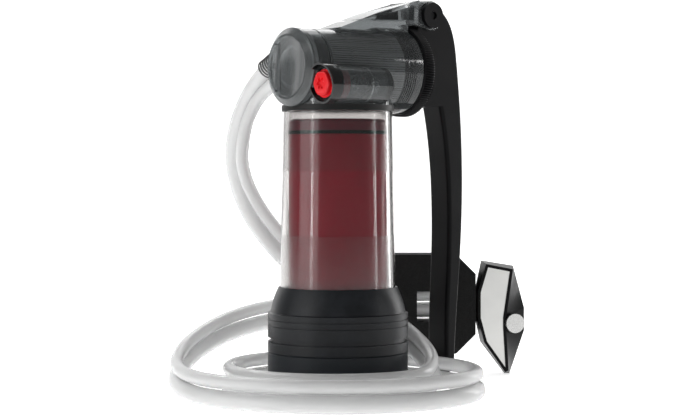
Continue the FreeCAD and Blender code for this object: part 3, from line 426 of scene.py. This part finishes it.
def rubbery(name, colour, rough=0.72):
    """Matt rubber: dusty colour variation and a soft open texture."""
    finish = Finish(name, IOR=1.45, Specular_IOR_Level=0.3)
    dust = finish.noise(70.0, 6.0, 0.65).between(0.35, 0.8)
    fine = finish.noise(2600.0, 2.0)
    finish.colour(finish.blend(dust, rgb(colour, 0.8), rgb(colour, 1.5)))
    finish.rough(dust * 0.15 + (rough - 0.08))
    finish.bump(fine, 0.3, 0.0001)
    return finish.material


def clear(name, colour, rough=0.06, weight=0.93):
    """Smoky clear plastic: faint flow lines in its shine and a slight waviness."""
    finish = Finish(name, IOR=1.49, Transmission_Weight=weight)
    flow = finish.noise(26.0, 3.0, 0.5, finish.stretched((1.0, 1.0, 3.0)))
    wipe = finish.noise(140.0, 5.0, 0.7).between(0.5, 0.85)
    finish.colour(finish.blend(flow, rgb(colour, 0.9), rgb(colour, 1.08)))
    finish.rough(wipe * 0.07 + rough)
    finish.bump(flow, 0.1, 0.0003)
    return finish.material


def sleeve_clear(name, colour):
    """Smoky plastic of the valve sleeve: clearer along its middle, with painted shade that turns it nearly
    black at its hood, and darker past its back end.
    """
    finish = Finish(name, IOR=1.49, Transmission_Weight=0.9)
    along = finish.coordinate("X")
    # Painted shade: the colour runs nearly black at the hood, and darker past the back end.
    hood = 1 - along.between(-0.0245, -0.0235)
    tail = along.between(0.0075, 0.0085)
    flow = finish.noise(60.0, 4.0, 0.6)
    body = finish.blend(flow * 0.5 + 0.2, rgb(colour, 1.1), rgb(colour, 1.9))
    finish.colour(finish.blend(hood * 0.93 + tail * 0.35, body, (0.012, 0.012, 0.013, 1.0)))
    finish.rough(flow * 0.06 + 0.05)
    finish.bump(flow, 0.1, 0.0002)
    return finish.material


def cap_clear(name, colour, chord, half):
    """Smoky plastic of the end cap: painted light makes one side of a moulded step paler, and painted shade
    draws the step as a dark line with ticks at its ends.
    """
    finish = Finish(name, IOR=1.49, Transmission_Weight=0.72)
    side = finish.coordinate("Y")
    height = (finish.coordinate("Z") - BARREL_Z).absolute()
    front = 1 - finish.coordinate("X").between(-0.0326, -0.0318)
    # Painted shade: a dark line along the step, with short ticks at its ends.
    line = (1 - (side - chord).absolute().between(0.0005, 0.0007)) * (1 - height.between(half, half + 0.0003))
    tick = (height - half).absolute().between(0.00045, 0.00065)
    tick = (1 - tick) * side.between(chord - 0.0002, chord)
    tick = tick * (1 - side.between(chord + 0.0035, chord + 0.004))
    # Painted light: the face beyond the step is coloured paler.
    pale = side.between(chord, chord + 0.0006)
    flow = finish.noise(60.0, 4.0, 0.6)
    body = finish.blend(pale * 0.75 * front + flow * 0.12, rgb(colour), rgb(colour, 2.6))
    step_shade = finish.math("MINIMUM", finish.math("ADD", line, tick), 1.0) * front
    finish.colour(finish.blend(step_shade, body, (0.004, 0.004, 0.005, 1.0)))
    finish.rough(flow * 0.06 + 0.2)
    finish.bump(flow, 0.1, 0.0002)
    return finish.material


def clear_housing(name, colour, low, high):
    """Housing plastic: polished between two heights and satin above and below."""
    finish = Finish(name, IOR=1.46, Transmission_Weight=1.0, Specular_IOR_Level=0.42)
    height = finish.coordinate("Z")
    edge = 0.0005
    window = height.between(low - edge, low + edge) * (1 - height.between(high - edge, high + edge))
    grain = finish.noise(1800.0, 2.0)
    smear = finish.noise(60.0, 4.0, 0.6)
    finish.colour(finish.blend(window * 0.8 + smear * 0.1, rgb(colour, 0.9), rgb(colour, 1.05)))
    finish.rough((1 - window) * 0.11 + smear * 0.03 + 0.01)
    finish.bump(grain * (1 - window), 0.12, 0.00006)
    return finish.material


def metal(name, colour, rough=0.25, lines=(1.0, 1.0, 1.0)):
    """Drawn stainless steel with fine draw lines."""
    finish = Finish(name, Metallic=1.0)
    drawn = finish.noise(900.0, 3.0, 0.6, finish.stretched(lines))
    tint = finish.noise(60.0, 3.0)
    finish.colour(finish.blend(tint, rgb(colour, 0.88), rgb(colour, 1.08)))
    finish.rough(drawn * 0.18 + (rough - 0.06))
    finish.bump(drawn, 0.15, 0.00005)
    return finish.material


def hose_plastic(name, colour):
    """Milky flexible tubing: cloudy, with a soft shine."""
    finish = Finish(name, IOR=1.38, Transmission_Weight=0.55)
    cloud = finish.noise(38.0, 4.0, 0.55)
    fine = finish.noise(700.0, 2.0)
    finish.colour(finish.blend(cloud, rgb(colour, 0.97), rgb(colour, 1.03)))
    finish.rough(cloud * 0.12 + 0.14)
    finish.bump(fine * 0.4 + cloud * 0.6, 0.1, 0.0002)
    return finish.material


def foam_skin(name, colour):
    """Closed-cell foam: pores of two sizes."""
    finish = Finish(name, IOR=1.4)
    pores = finish.cells(900.0)
    large = finish.cells(330.0)
    worn = finish.noise(90.0, 5.0, 0.65).between(0.45, 0.8)
    finish.colour(finish.blend(pores * 0.6 + worn * 0.5, rgb(colour, 0.7), rgb(colour, 2.2)))
    finish.rough(worn * 0.08 + 0.86)
    finish.bump(pores * 0.6 + large * 0.4, 0.8, 0.0004)
    return finish.material


def fibres(name, colour):
    """Bundle of hollow fibres, as fine upright lines."""
    finish = Finish(name)
    lines = finish.noise(800.0, 2.0, 0.5, finish.stretched((1.0, 1.0, 0.02)))
    finish.colour(finish.blend(lines, rgb(colour, 0.7), rgb(colour, 1.05)))
    finish.rough(lines * 0.2 + 0.6)
    finish.bump(lines, 0.6, 0.0004)
    return finish.material


# ---- settings ---------------------------------------------------------------------------------
def colour_property(name, default, words):
    return bpy.props.FloatVectorProperty(
        name=name, description=words, subtype="COLOR", size=3, min=0.0, max=1.0, default=default)


class FilterColours(bpy.types.PropertyGroup):
    """Colours of the filter's finishes."""
    smoky: colour_property("Smoky plastic", (0.20, 0.215, 0.22), "Clear pump head and barrel")
    housing: colour_property("Housing", (0.72, 0.70, 0.69), "Clear cartridge housing")
    cartridge: colour_property("Cartridge", (0.42, 0.006, 0.030), "Shell of the filter cartridge")
    cap: colour_property("Cartridge cap", (0.20, 0.012, 0.035), "Cap on top of the cartridge")
    boot: colour_property("Boot", (0.010, 0.0115, 0.014), "Ribbed rubber boot")
    ring: colour_property("Ring", (0.021, 0.024, 0.028), "Smooth ring under the boot")
    black: colour_property("Black plastic", (0.0035, 0.0035, 0.0042), "Lever, collar and prefilter")
    seal: colour_property("Seals", (0.006, 0.006, 0.006), "Gaskets and rings")
    knob: colour_property("Knob", (0.80, 0.008, 0.014), "Relief valve knob")
    hose: colour_property("Hose", (0.985, 0.99, 0.99), "Flexible tubing")
    foam: colour_property("Foam", (0.005, 0.005, 0.005), "Float")
    steel: colour_property("Steel", (0.62, 0.62, 0.61), "Springs, pins and weight")
    mesh: colour_property("Mesh", (0.80, 0.80, 0.78), "Prefilter's woven wire")


class FilterSizes(bpy.types.PropertyGroup):
    """Sizes of the filter's detail."""
    knurl_teeth: bpy.props.IntProperty(
        name="Knurl teeth", description="Teeth round the collar nut", default=112, min=12, max=160)
    knurl_depth: bpy.props.FloatProperty(
        name="Knurl depth", description="Depth of the collar's teeth, in millimetres",
        default=0.7, min=0.1, max=2.0)
    wire_pitch: bpy.props.FloatProperty(
        name="Wire pitch", description="Distance between mesh wires, in millimetres",
        default=1.3, min=0.6, max=4.0)
    spring_turns: bpy.props.IntProperty(
        name="Spring turns", description="Turns of the hose's bend spring", default=7, min=3, max=20)
    inlet_wall: bpy.props.FloatProperty(
        name="Inlet wall", description="Wall of the inlet hose, in millimetres",
        default=1.5, min=0.5, max=3.0)
    purge_wall: bpy.props.FloatProperty(
        name="Purge wall", description="Wall of the purge hose, in millimetres",
        default=1.3, min=0.5, max=3.0)


FINISHES = {}
CHORD_SIDE, CHORD_HALF = 0.0063, 0.0118         # step across the end cap, drawn with painted light and shade: its place and half its height
WINDOW_LOW, WINDOW_HIGH = 0.084, 0.117          # polished window of the housing, between two heights


def make_finishes(colours):
    """Every finish of the filter, by the record's slot or the piece's own name."""
    FINISHES.update(
        smooth_ring=moulded("ring_plastic", colours.ring, 0.4, 0.2, shine=0.2),
        boot_rubber=rubbery("boot_rubber", colours.boot, 0.42),
        black_rubber=rubbery("seal_rubber", colours.seal, 0.5),
        smoky_clear=clear("smoky_clear", colours.smoky, 0.07, 0.8),
        sleeve_clear=sleeve_clear("sleeve_clear", colours.smoky),
        cap_clear=cap_clear("cap_clear", colours.smoky, CHORD_SIDE, CHORD_HALF),
        housing_clear=clear_housing("housing_clear", colours.housing, WINDOW_LOW, WINDOW_HIGH),
        cartridge_red=moulded("cartridge_red", colours.cartridge, 0.3, 0.1, 500.0, 0.05),
        cap_purple=moulded("cap_plum", colours.cap, 0.35, 0.15),
        fiber=fibres("hollow_fibre", (0.8, 0.79, 0.74)),
        potting=moulded("cast_resin", (0.62, 0.56, 0.4), 0.25, 0.1),
        black_plastic=moulded("black_plastic", colours.black, 0.34, 0.3, shine=0.14),
        white_plastic=moulded("white_plastic", (0.7, 0.7, 0.69), 0.35, 0.1),
        steel=metal("drawn_steel", colours.steel, 0.24, (1.0, 1.0, 1.0)),
        bend_steel=metal("bend_spring_steel", (0.12, 0.12, 0.12), 0.3),
        knob_red=moulded("knob_red", colours.knob, 0.28, 0.1, 900.0, 0.05),
        hose_clear=hose_plastic("hose_milky", colours.hose),
        foam=foam_skin("float_foam", colours.foam),
        steel_mesh=metal("wire_steel", colours.mesh, 0.3),
    )


def colours():
    return bpy.context.scene.water_filter_colours


def sizes():
    return bpy.context.scene.water_filter_sizes


# ---- hoses ------------------------------------------------------------------------------------
def port_point(height, dip, along):
    slope = math.radians(dip)
    return (PORT[0], PORT[1] + along * math.cos(slope), height - along * math.sin(slope))


def beside_twin(side, diameter):
    """Route points of one hose of the twin, at half their spacing from the middle."""
    middle = np.array([place for place, across in TWIN])
    across = np.array([across for place, across in TWIN], float)
    across /= np.linalg.norm(across, axis=1, keepdims=True)
    return middle + across * side * (INLET_D + PURGE_D - diameter + HOSE_GAP) / 2


def route_line(name, points):
    """Points along the NURBS spline of a route."""
    curve = bpy.data.curves.new(name, "CURVE")
    curve.dimensions = "3D"
    spline = curve.splines.new("NURBS")
    spline.points.add(len(points) - 1)
    spline.points.foreach_set("co", np.column_stack([points, np.ones(len(points))]).ravel())
    spline.order_u = 3
    spline.use_endpoint_u = True
    spline.resolution_u = 14
    holder = bpy.data.objects.new(name, curve)
    line = bpy.data.meshes.new_from_object(holder)
    path = np.zeros(len(line.vertices) * 3)
    line.vertices.foreach_get("co", path)
    bpy.data.objects.remove(holder)
    bpy.data.curves.remove(curve)
    bpy.data.meshes.remove(line)
    return path.reshape(-1, 3)


def hose(name, points, extra, diameter, wall):
    """One hose as a hollow tube along its route. extra is how many points come before the twin's."""
    path = route_line(name + "_route", points)
    across = np.array([across for place, across in TWIN], float)
    across = np.concatenate([np.repeat(across[:1], extra, axis=0), across])
    run = np.concatenate([[0], np.cumsum(np.linalg.norm(np.diff(points, axis=0), axis=1))])
    share = np.linspace(0, run[-1], len(path))
    reference = np.stack([np.interp(share, run, across[:, k]) for k in range(3)], 1)
    mesh = mesh_of(name, [tube(path, reference, diameter / 2, diameter / 2 - wall * MM, 24)])
    tidy_mesh(mesh)
    length = float(np.linalg.norm(np.diff(path, axis=0), axis=1).sum())
    return path, length, piece(name, mesh, FINISHES["hose_clear"], ROOT, (), 60)


class FILTER_OT_hoses(bpy.types.Operator):
    """Inlet and purge hose, side by side, from the ports round the base to the prefilter"""
    bl_idname = "water_filter.hoses"
    bl_label = "Hoses"

    def execute(self, context):
        inlet = [port_point(0.1768, 24, FLANGE_T), port_point(0.1768, 24, 0.024)]
        inlet = np.concatenate([np.array(inlet), beside_twin(1, INLET_D)])
        purge = [port_point(0.1656, 20, FLANGE_T), port_point(0.1656, 20, 0.017), (-0.020, 0.049, 0.151)]
        purge = np.concatenate([np.array(purge), beside_twin(-1, PURGE_D)])
        path, length, thing = hose("inlet_tube", inlet, 2, INLET_D, sizes().inlet_wall)
        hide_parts("inlet_hose")
        path, length, thing = hose("purge_tube", purge, 3, PURGE_D, sizes().purge_wall)
        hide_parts("purge_hose")
        return {"FINISHED"}


class FILTER_OT_hose_ends(bpy.types.Operator):
    """Fittings on the two ports, and the spring that keeps the inlet hose from kinking"""
    bl_idname = "water_filter.hose_ends"
    bl_label = "Hose Ends"

    def execute(self, context):
        slope = math.radians(24)
        axis = (0, math.cos(slope), -math.sin(slope))
        turns = sizes().spring_turns
        base = port_point(0.1768, 24, FLANGE_T + 0.0004)
        path, out = helix(base, axis, (1, 0, 0), 0.0051, 0.0019, turns, 0.0)
        mesh = mesh_of("bend_spring", [tube(path, out, 0.0004, 0.0, 10)])
        tidy_mesh(mesh, merge=1e-7)
        piece("bend_spring", mesh, FINISHES["bend_steel"], ROOT, ("strain_spring",), 60)
        softened("inlet_elbow", "inlet_fitting", FINISHES["black_plastic"], ROOT, 0.0002)
        softened("purge_elbow", "purge_fitting", FINISHES["black_plastic"], ROOT, 0.0002)
        return {"FINISHED"}


# ---- float and prefilter ----------------------------------------------------------------------
class FILTER_OT_float(bpy.types.Operator):
    """Foam float on the twin hose, with its window"""
    bl_idname = "water_filter.float"
    bl_label = "Float"

    def execute(self, context):
        block = softened("float_block", "hose_float", FINISHES["foam"], ROOT, 0.0008, 30)
        return {"FINISHED"}


class FILTER_OT_prefilter(bpy.types.Operator):
    """Prefilter case and its woven wire faces"""
    bl_idname = "water_filter.prefilter"
    bl_label = "Prefilter"

    def execute(self, context):
        softened("prefilter_case", "prefilter_frame", FINISHES["black_plastic"], ROOT,
                 0.0006, 20)
        softened("prefilter_gauze", "prefilter_mesh", FINISHES["steel_mesh"], ROOT, 0.0)
        return {"FINISHED"}


# ---- bottle end and cartridge -----------------------------------------------------------------
class FILTER_OT_adapter(bpy.types.Operator):
    """Bottle adapter: smooth ring, ribbed rubber boot and bottle thread"""
    bl_idname = "water_filter.adapter"
    bl_label = "Adapter"

    def execute(self, context):
        softened("lower_ring", "adapter_ring", FINISHES["smooth_ring"], ROOT, axes=(UPRIGHT,))
        softened("ribbed_boot", "adapter_boot", FINISHES["boot_rubber"], ROOT, axes=(UPRIGHT,))
        return {"FINISHED"}


class FILTER_OT_cartridge(bpy.types.Operator):
    """Clear housing round the filter cartridge"""
    bl_idname = "water_filter.cartridge"
    bl_label = "Cartridge"

    def execute(self, context):
        outer = [(29.7, 30.1), (57, 30.1), (148, 28.3)]
        inner = [(148, 26.3), (57, 28.1), (29.7, 28.1)]
        mesh = mesh_of("clear_housing", [turned(outer + inner, 160)])
        tidy_mesh(mesh)
        piece("clear_housing", mesh, FINISHES["housing_clear"], ROOT, ("cartridge_housing",),
              30, 0.0004)
        red, plum = FINISHES["cartridge_red"], FINISHES["cap_purple"]
        softened("red_shell", "cartridge_shell", red, ROOT, axes=(UPRIGHT,))
        softened("plum_cap", "cartridge_cap", plum, ROOT, axes=(UPRIGHT,))
        return {"FINISHED"}


# ---- pump -------------------------------------------------------------------------------------
class FILTER_OT_pump(bpy.types.Operator):
    """Pump head, end cap, collar nut and bracket"""
    bl_idname = "water_filter.pump"
    bl_label = "Pump"

    def execute(self, context):
        smoky = FINISHES["smoky_clear"]
        softened("clear_head", "pump_head", smoky, ROOT, axes=(BARREL, UPRIGHT, SLEEVE))
        softened("clear_bracket", "pivot_bracket", smoky, ROOT, axes=(PIVOT, BARREL))
        softened("front_cap", "end_cap", FINISHES["cap_clear"], "end_cap", axes=(BARREL,))
        softened("bore_liner", "cylinder_liner", FINISHES["white_plastic"], ROOT,
                 axes=(BARREL,))
        softened("guide_bush", "rod_guide", FINISHES["black_plastic"], ROOT, axes=(BARREL,))
        softened("pump_piston", "piston", FINISHES["black_plastic"], "pump_rod",
                 axes=(BARREL,))
        teeth, depth = sizes().knurl_teeth, sizes().knurl_depth
        self.collar(teeth, depth)
        return {"FINISHED"}

    def collar(self, teeth, depth):
        """Knurled nut: a lathe surface whose rim radius falls by depth between the teeth, as a cosine."""
        low, high = (corner / MM for corner in (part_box("collar_nut")[0][0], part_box("collar_nut")[1][0]))
        rim = 24.0
        profile = [(low, 21.6), (low, rim - 1.2), (low + 0.5, rim - 0.9), (low + 0.9, rim), (high - 0.9, rim),
                   (high - 0.5, rim - 0.9), (high, rim - 1.4), (high, 19.0), (high - 0.6, 18.4),
                   (high - 0.6, 9.5), (high, 9.0), (high, 7.6), (high - 0.6, 7.0), (high - 3.1, 7.0),
                   (high - 3.1, 21.6)]
        points, wrap_rows, wrap_columns = turned(profile, teeth * 8, "x", (0.0, BARREL_Z))
        turn = np.linspace(0, 2 * np.pi, teeth * 8, endpoint=False)
        dent = (0.5 - 0.5 * np.cos(teeth * turn)) ** 0.7 * depth * MM
        outward = points - np.array([0, 0, BARREL_Z])
        outward[..., 0] = 0
        radius = np.linalg.norm(outward, axis=2, keepdims=True)
        on_rim = np.clip((radius / MM - (rim - 1.0)) / 0.8, 0, 1)
        points = points - outward / radius * on_rim * dent[None, :, None]
        mesh = mesh_of("knurled_collar", [(points, wrap_rows, wrap_columns)])
        tidy_mesh(mesh)
        piece("knurled_collar", mesh, FINISHES["black_plastic"], "collar_nut", ("collar_nut",),
              40)


class FILTER_OT_lever(bpy.types.Operator):
    """Bowed pump lever on its pivot pin"""
    bl_idname = "water_filter.lever"
    bl_label = "Lever"

    def execute(self, context):
        softened("pump_lever", "handle", FINISHES["black_plastic"], "handle", 0.0006)
        softened("pin_discs", "pin_caps", FINISHES["black_plastic"], ROOT, axes=(PIVOT,))
        return {"FINISHED"}


class FILTER_OT_relief(bpy.types.Operator):
    """Relief valve: clear sleeve, red knob and spring"""
    bl_idname = "water_filter.relief"
    bl_label = "Relief Valve"

    def execute(self, context):
        softened("clear_sleeve", "valve_sleeve", FINISHES["sleeve_clear"], ROOT,
                 axes=(SLEEVE,))
        self.knob()
        low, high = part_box("relief_spring")
        path, out = helix((low[0] + 0.00045, SLEEVE_Y, SLEEVE_Z), (1, 0, 0), (0, 0, 1), 0.0046,
                          (high[0] - low[0] - 0.0009) / 5, 5, 0.0)
        mesh = mesh_of("valve_spring", [tube(path, out, 0.00045, 0.0, 10)])
        tidy_mesh(mesh, merge=1e-7)
        spring = piece("valve_spring", mesh, FINISHES["steel"], ROOT, ("relief_spring",), 60)
        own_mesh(spring)
        return {"FINISHED"}

    def knob(self):
        """Knob as a lathe surface with a lobed rim and a star-shaped hollow.

        The rim's radius is R (1 - 0.07 (0.5 - 0.5 cos 6a)). The hollow's edge lies at
        0.4 R (1 + 0.3 cos 6a), where the face falls by its depth.
        """
        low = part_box("relief_knob")[0][0] / MM
        rim, shank, sides = 6.4, 7.13, 144
        face = [(low, radius) for radius in np.linspace(0.02, 5.5, 26)]
        rest = [(low + 0.15, 5.9), (low + 0.6, rim - 0.1), (low + 1.0, rim), (low + 2.6, rim),
                (low + 2.6, shank), (low + 7.0, shank), (low + 7.0, shank - 1.3),
                (low + 8.8, shank - 1.3), (low + 8.8, shank),
                (low + 13.0, shank), (low + 13.0, 0.02)]
        points, wrap_rows, wrap_columns = turned(face + rest, sides, "x", (SLEEVE_Y, SLEEVE_Z))
        turn = np.linspace(0, 2 * np.pi, sides, endpoint=False)
        radius = np.array([entry[1] for entry in face])
        edge = 0.4 * rim * (1 + 0.3 * np.cos(6 * turn))
        hollow = np.clip((edge[None, :] - radius[:, None]) / 0.7, 0, 1)
        dish = 0.35 * (radius[:, None] / 5.5) ** 4
        points[:len(face), :, 0] += (1.3 * hollow ** 0.7 * (1 - 0.5 * hollow) * 2 + dish) * 0.8 * MM
        lobes = 1 - 0.07 * (0.5 - 0.5 * np.cos(6 * turn))
        outer = slice(len(face) - 8, len(face) + 4)
        centre = np.array([0, SLEEVE_Y, SLEEVE_Z])
        aside = points[outer] - centre
        aside[..., 1:] *= lobes[None, :, None]
        points[outer] = aside + centre
        mesh = mesh_of("red_knob", [(points, wrap_rows, wrap_columns)])
        tidy_mesh(mesh, merge=4e-5)
        piece("red_knob", mesh, FINISHES["knob_red"], "relief_valve", ("relief_knob",), 38)


class FILTER_OT_inside(bpy.types.Operator):
    """Finishes of the frame's own nodes, mostly the parts inside"""
    bl_idname = "water_filter.inside"
    bl_label = "Inside Parts"

    def execute(self, context):
        slots = {entry["node"]: entry["material_slot"] for entry in frame["record"]["subparts"]}
        for name, node in frame["nodes"].items():
            finish = FINISHES[slots[name]]
            node.data.materials.clear()
            node.data.materials.append(finish)
        return {"FINISHED"}


# ---- studio -----------------------------------------------------------------------------------
# Name, degrees round from the camera, distance, rise, (width, height) and power of each lamp
LIGHTS = (
    ("left card", -62, 1.3, 0.35, (1.1, 1.5), 7.5),
    ("top card", -160, 0.9, 1.0, (1.2, 0.8), 6.0),
    ("left strip", -54, 1.1, 0.05, (0.03, 0.7), 0.9),
    ("right strip", 82, 1.0, 0.05, (0.05, 0.8), 1.2),
    ("edge strip", 126, 1.0, 0.05, (0.10, 0.9), 2.4),
)


def area_light(name, place, target, size, power):
    lamp = bpy.data.lights.new(name, "AREA")
    lamp.shape = "RECTANGLE"
    lamp.size, lamp.size_y = size
    lamp.energy = power
    holder = bpy.data.objects.new(name, lamp)
    bpy.context.scene.collection.objects.link(holder)
    holder.location = place
    aim(holder, target)
    return holder


def aim(holder, target):
    """Turns an object so that its -Z looks at a target, with +Y up."""
    direction = (np.array(target) - np.array(holder.location))
    distance = math.hypot(direction[0], direction[1])
    turn = math.atan2(direction[1], direction[0]) - math.pi / 2
    holder.rotation_euler = (math.atan2(distance, -direction[2]), 0, turn)


class FILTER_OT_stage(bpy.types.Operator):
    """Pale sweep, soft lights and the camera"""
    bl_idname = "water_filter.stage"
    bl_label = "Stage"

    camera_deg: bpy.props.FloatProperty(
        name="Azimuth", description="Camera's azimuth, in degrees", default=-38.0)
    distance: bpy.props.FloatProperty(
        name="Distance", description="Camera to filter, in metres", default=0.90)
    eye: bpy.props.FloatProperty(
        name="Eye height", description="Height of the camera, in metres", default=0.116)

    def execute(self, context):
        scene = context.scene
        turn = math.radians(self.camera_deg)
        ahead = np.array([-math.sin(turn), math.cos(turn), 0])
        right = np.array([math.cos(turn), math.sin(turn), 0])
        self.sweep(ahead, right)
        camera = bpy.data.cameras.new("camera")
        camera.lens = 89.0
        camera.sensor_width = 36.0
        camera.clip_start = 0.01
        holder = bpy.data.objects.new("camera", camera)
        scene.collection.objects.link(holder)
        holder.location = -ahead * self.distance + right * 0.0063 + np.array([0, 0, self.eye])
        aim(holder, np.array(holder.location) + ahead - np.array([0, 0, math.tan(math.radians(1.19))]))
        scene.camera = holder
        world = bpy.data.worlds.new("studio")
        world.use_nodes = True
        world.node_tree.nodes["Background"].inputs[0].default_value = (1.0, 1.0, 1.0, 1.0)
        world.node_tree.nodes["Background"].inputs[1].default_value = 0.22
        scene.world = world
        centre = np.array([0.02, 0.0, 0.12])
        for name, degrees, distance, rise, size, power in LIGHTS:
            swing = math.radians(degrees)
            place = centre - ahead * distance * math.cos(swing) + right * distance * math.sin(swing)
            area_light(name, tuple(place + np.array([0, 0, rise])), centre, size, power)
        scene.view_settings.view_transform = "Standard"
        return {"FINISHED"}

    def sweep(self, ahead, right):
        """Floor that curves up into a backdrop: flat, then a quarter circle, then upright."""
        reach, radius, top = 1.4, 0.5, 1.6
        bend = np.linspace(0, np.pi / 2, 24)
        along = np.concatenate([[-2.5], reach + radius * np.sin(bend), [reach + radius]])
        up = np.concatenate([[0.0], radius * (1 - np.cos(bend)), [top]])
        across = np.linspace(-2.5, 2.5, 3)
        points = along[:, None, None] * ahead + across[None, :, None] * right
        points[..., 2] += up[:, None]
        mesh = mesh_of("sweep", [(points, False, False)])
        shade(mesh, 60)
        finish = Finish("paper", Emission_Color=(1.0, 1.0, 1.0, 1.0), Emission_Strength=0.75)
        fibre = finish.noise(300.0, 3.0)
        finish.colour(finish.blend(fibre, (0.90, 0.90, 0.90, 1.0), (0.92, 0.92, 0.92, 1.0)))
        finish.rough(fibre * 0.1 + 0.8)
        mesh.materials.append(finish.material)
        paper = bpy.data.objects.new("sweep", mesh)
        bpy.context.scene.collection.objects.link(paper)


class FILTER_PT_panel(bpy.types.Panel):
    """Lists the filter's pieces and settings"""
    bl_label = "Water Filter"
    bl_idname = "FILTER_PT_panel"
    bl_space_type = "VIEW_3D"
    bl_region_type = "UI"
    bl_category = "Water Filter"

    def draw(self, context):
        for group in (context.scene.water_filter_sizes, context.scene.water_filter_colours):
            column = self.layout.column()
            for name in group.__annotations__:
                column.prop(group, name)
        for operator in OPERATORS:
            self.layout.operator(operator.bl_idname)


OPERATORS = (
    FILTER_OT_inside, FILTER_OT_adapter, FILTER_OT_cartridge, FILTER_OT_pump, FILTER_OT_relief,
    FILTER_OT_lever, FILTER_OT_hose_ends, FILTER_OT_float, FILTER_OT_prefilter, FILTER_OT_hoses,
    FILTER_OT_stage)
CLASSES = (FilterColours, FilterSizes) + OPERATORS + (FILTER_PT_panel,)


def register():
    for entry in CLASSES:
        bpy.utils.register_class(entry)
    bpy.types.Scene.water_filter_colours = bpy.props.PointerProperty(type=FilterColours)
    bpy.types.Scene.water_filter_sizes = bpy.props.PointerProperty(type=FilterSizes)


def unregister():
    del bpy.types.Scene.water_filter_sizes
    del bpy.types.Scene.water_filter_colours
    for entry in reversed(CLASSES):
        bpy.utils.unregister_class(entry)


def main():
    register()
    for name in ("Cube", "Camera", "Light"):
        if name in bpy.data.objects:
            bpy.data.objects.remove(bpy.data.objects[name])
    make_finishes(colours())
    bpy.ops.water_filter.inside()
    bpy.ops.water_filter.adapter()
    bpy.ops.water_filter.cartridge()
    bpy.ops.water_filter.pump()
    bpy.ops.water_filter.relief()
    bpy.ops.water_filter.lever()
    bpy.ops.water_filter.hose_ends()
    bpy.ops.water_filter.float()
    bpy.ops.water_filter.prefilter()
    bpy.ops.water_filter.hoses()
    bpy.ops.water_filter.stage()
    bpy.context.view_layer.update()


if __name__ == "__main__":
    main()
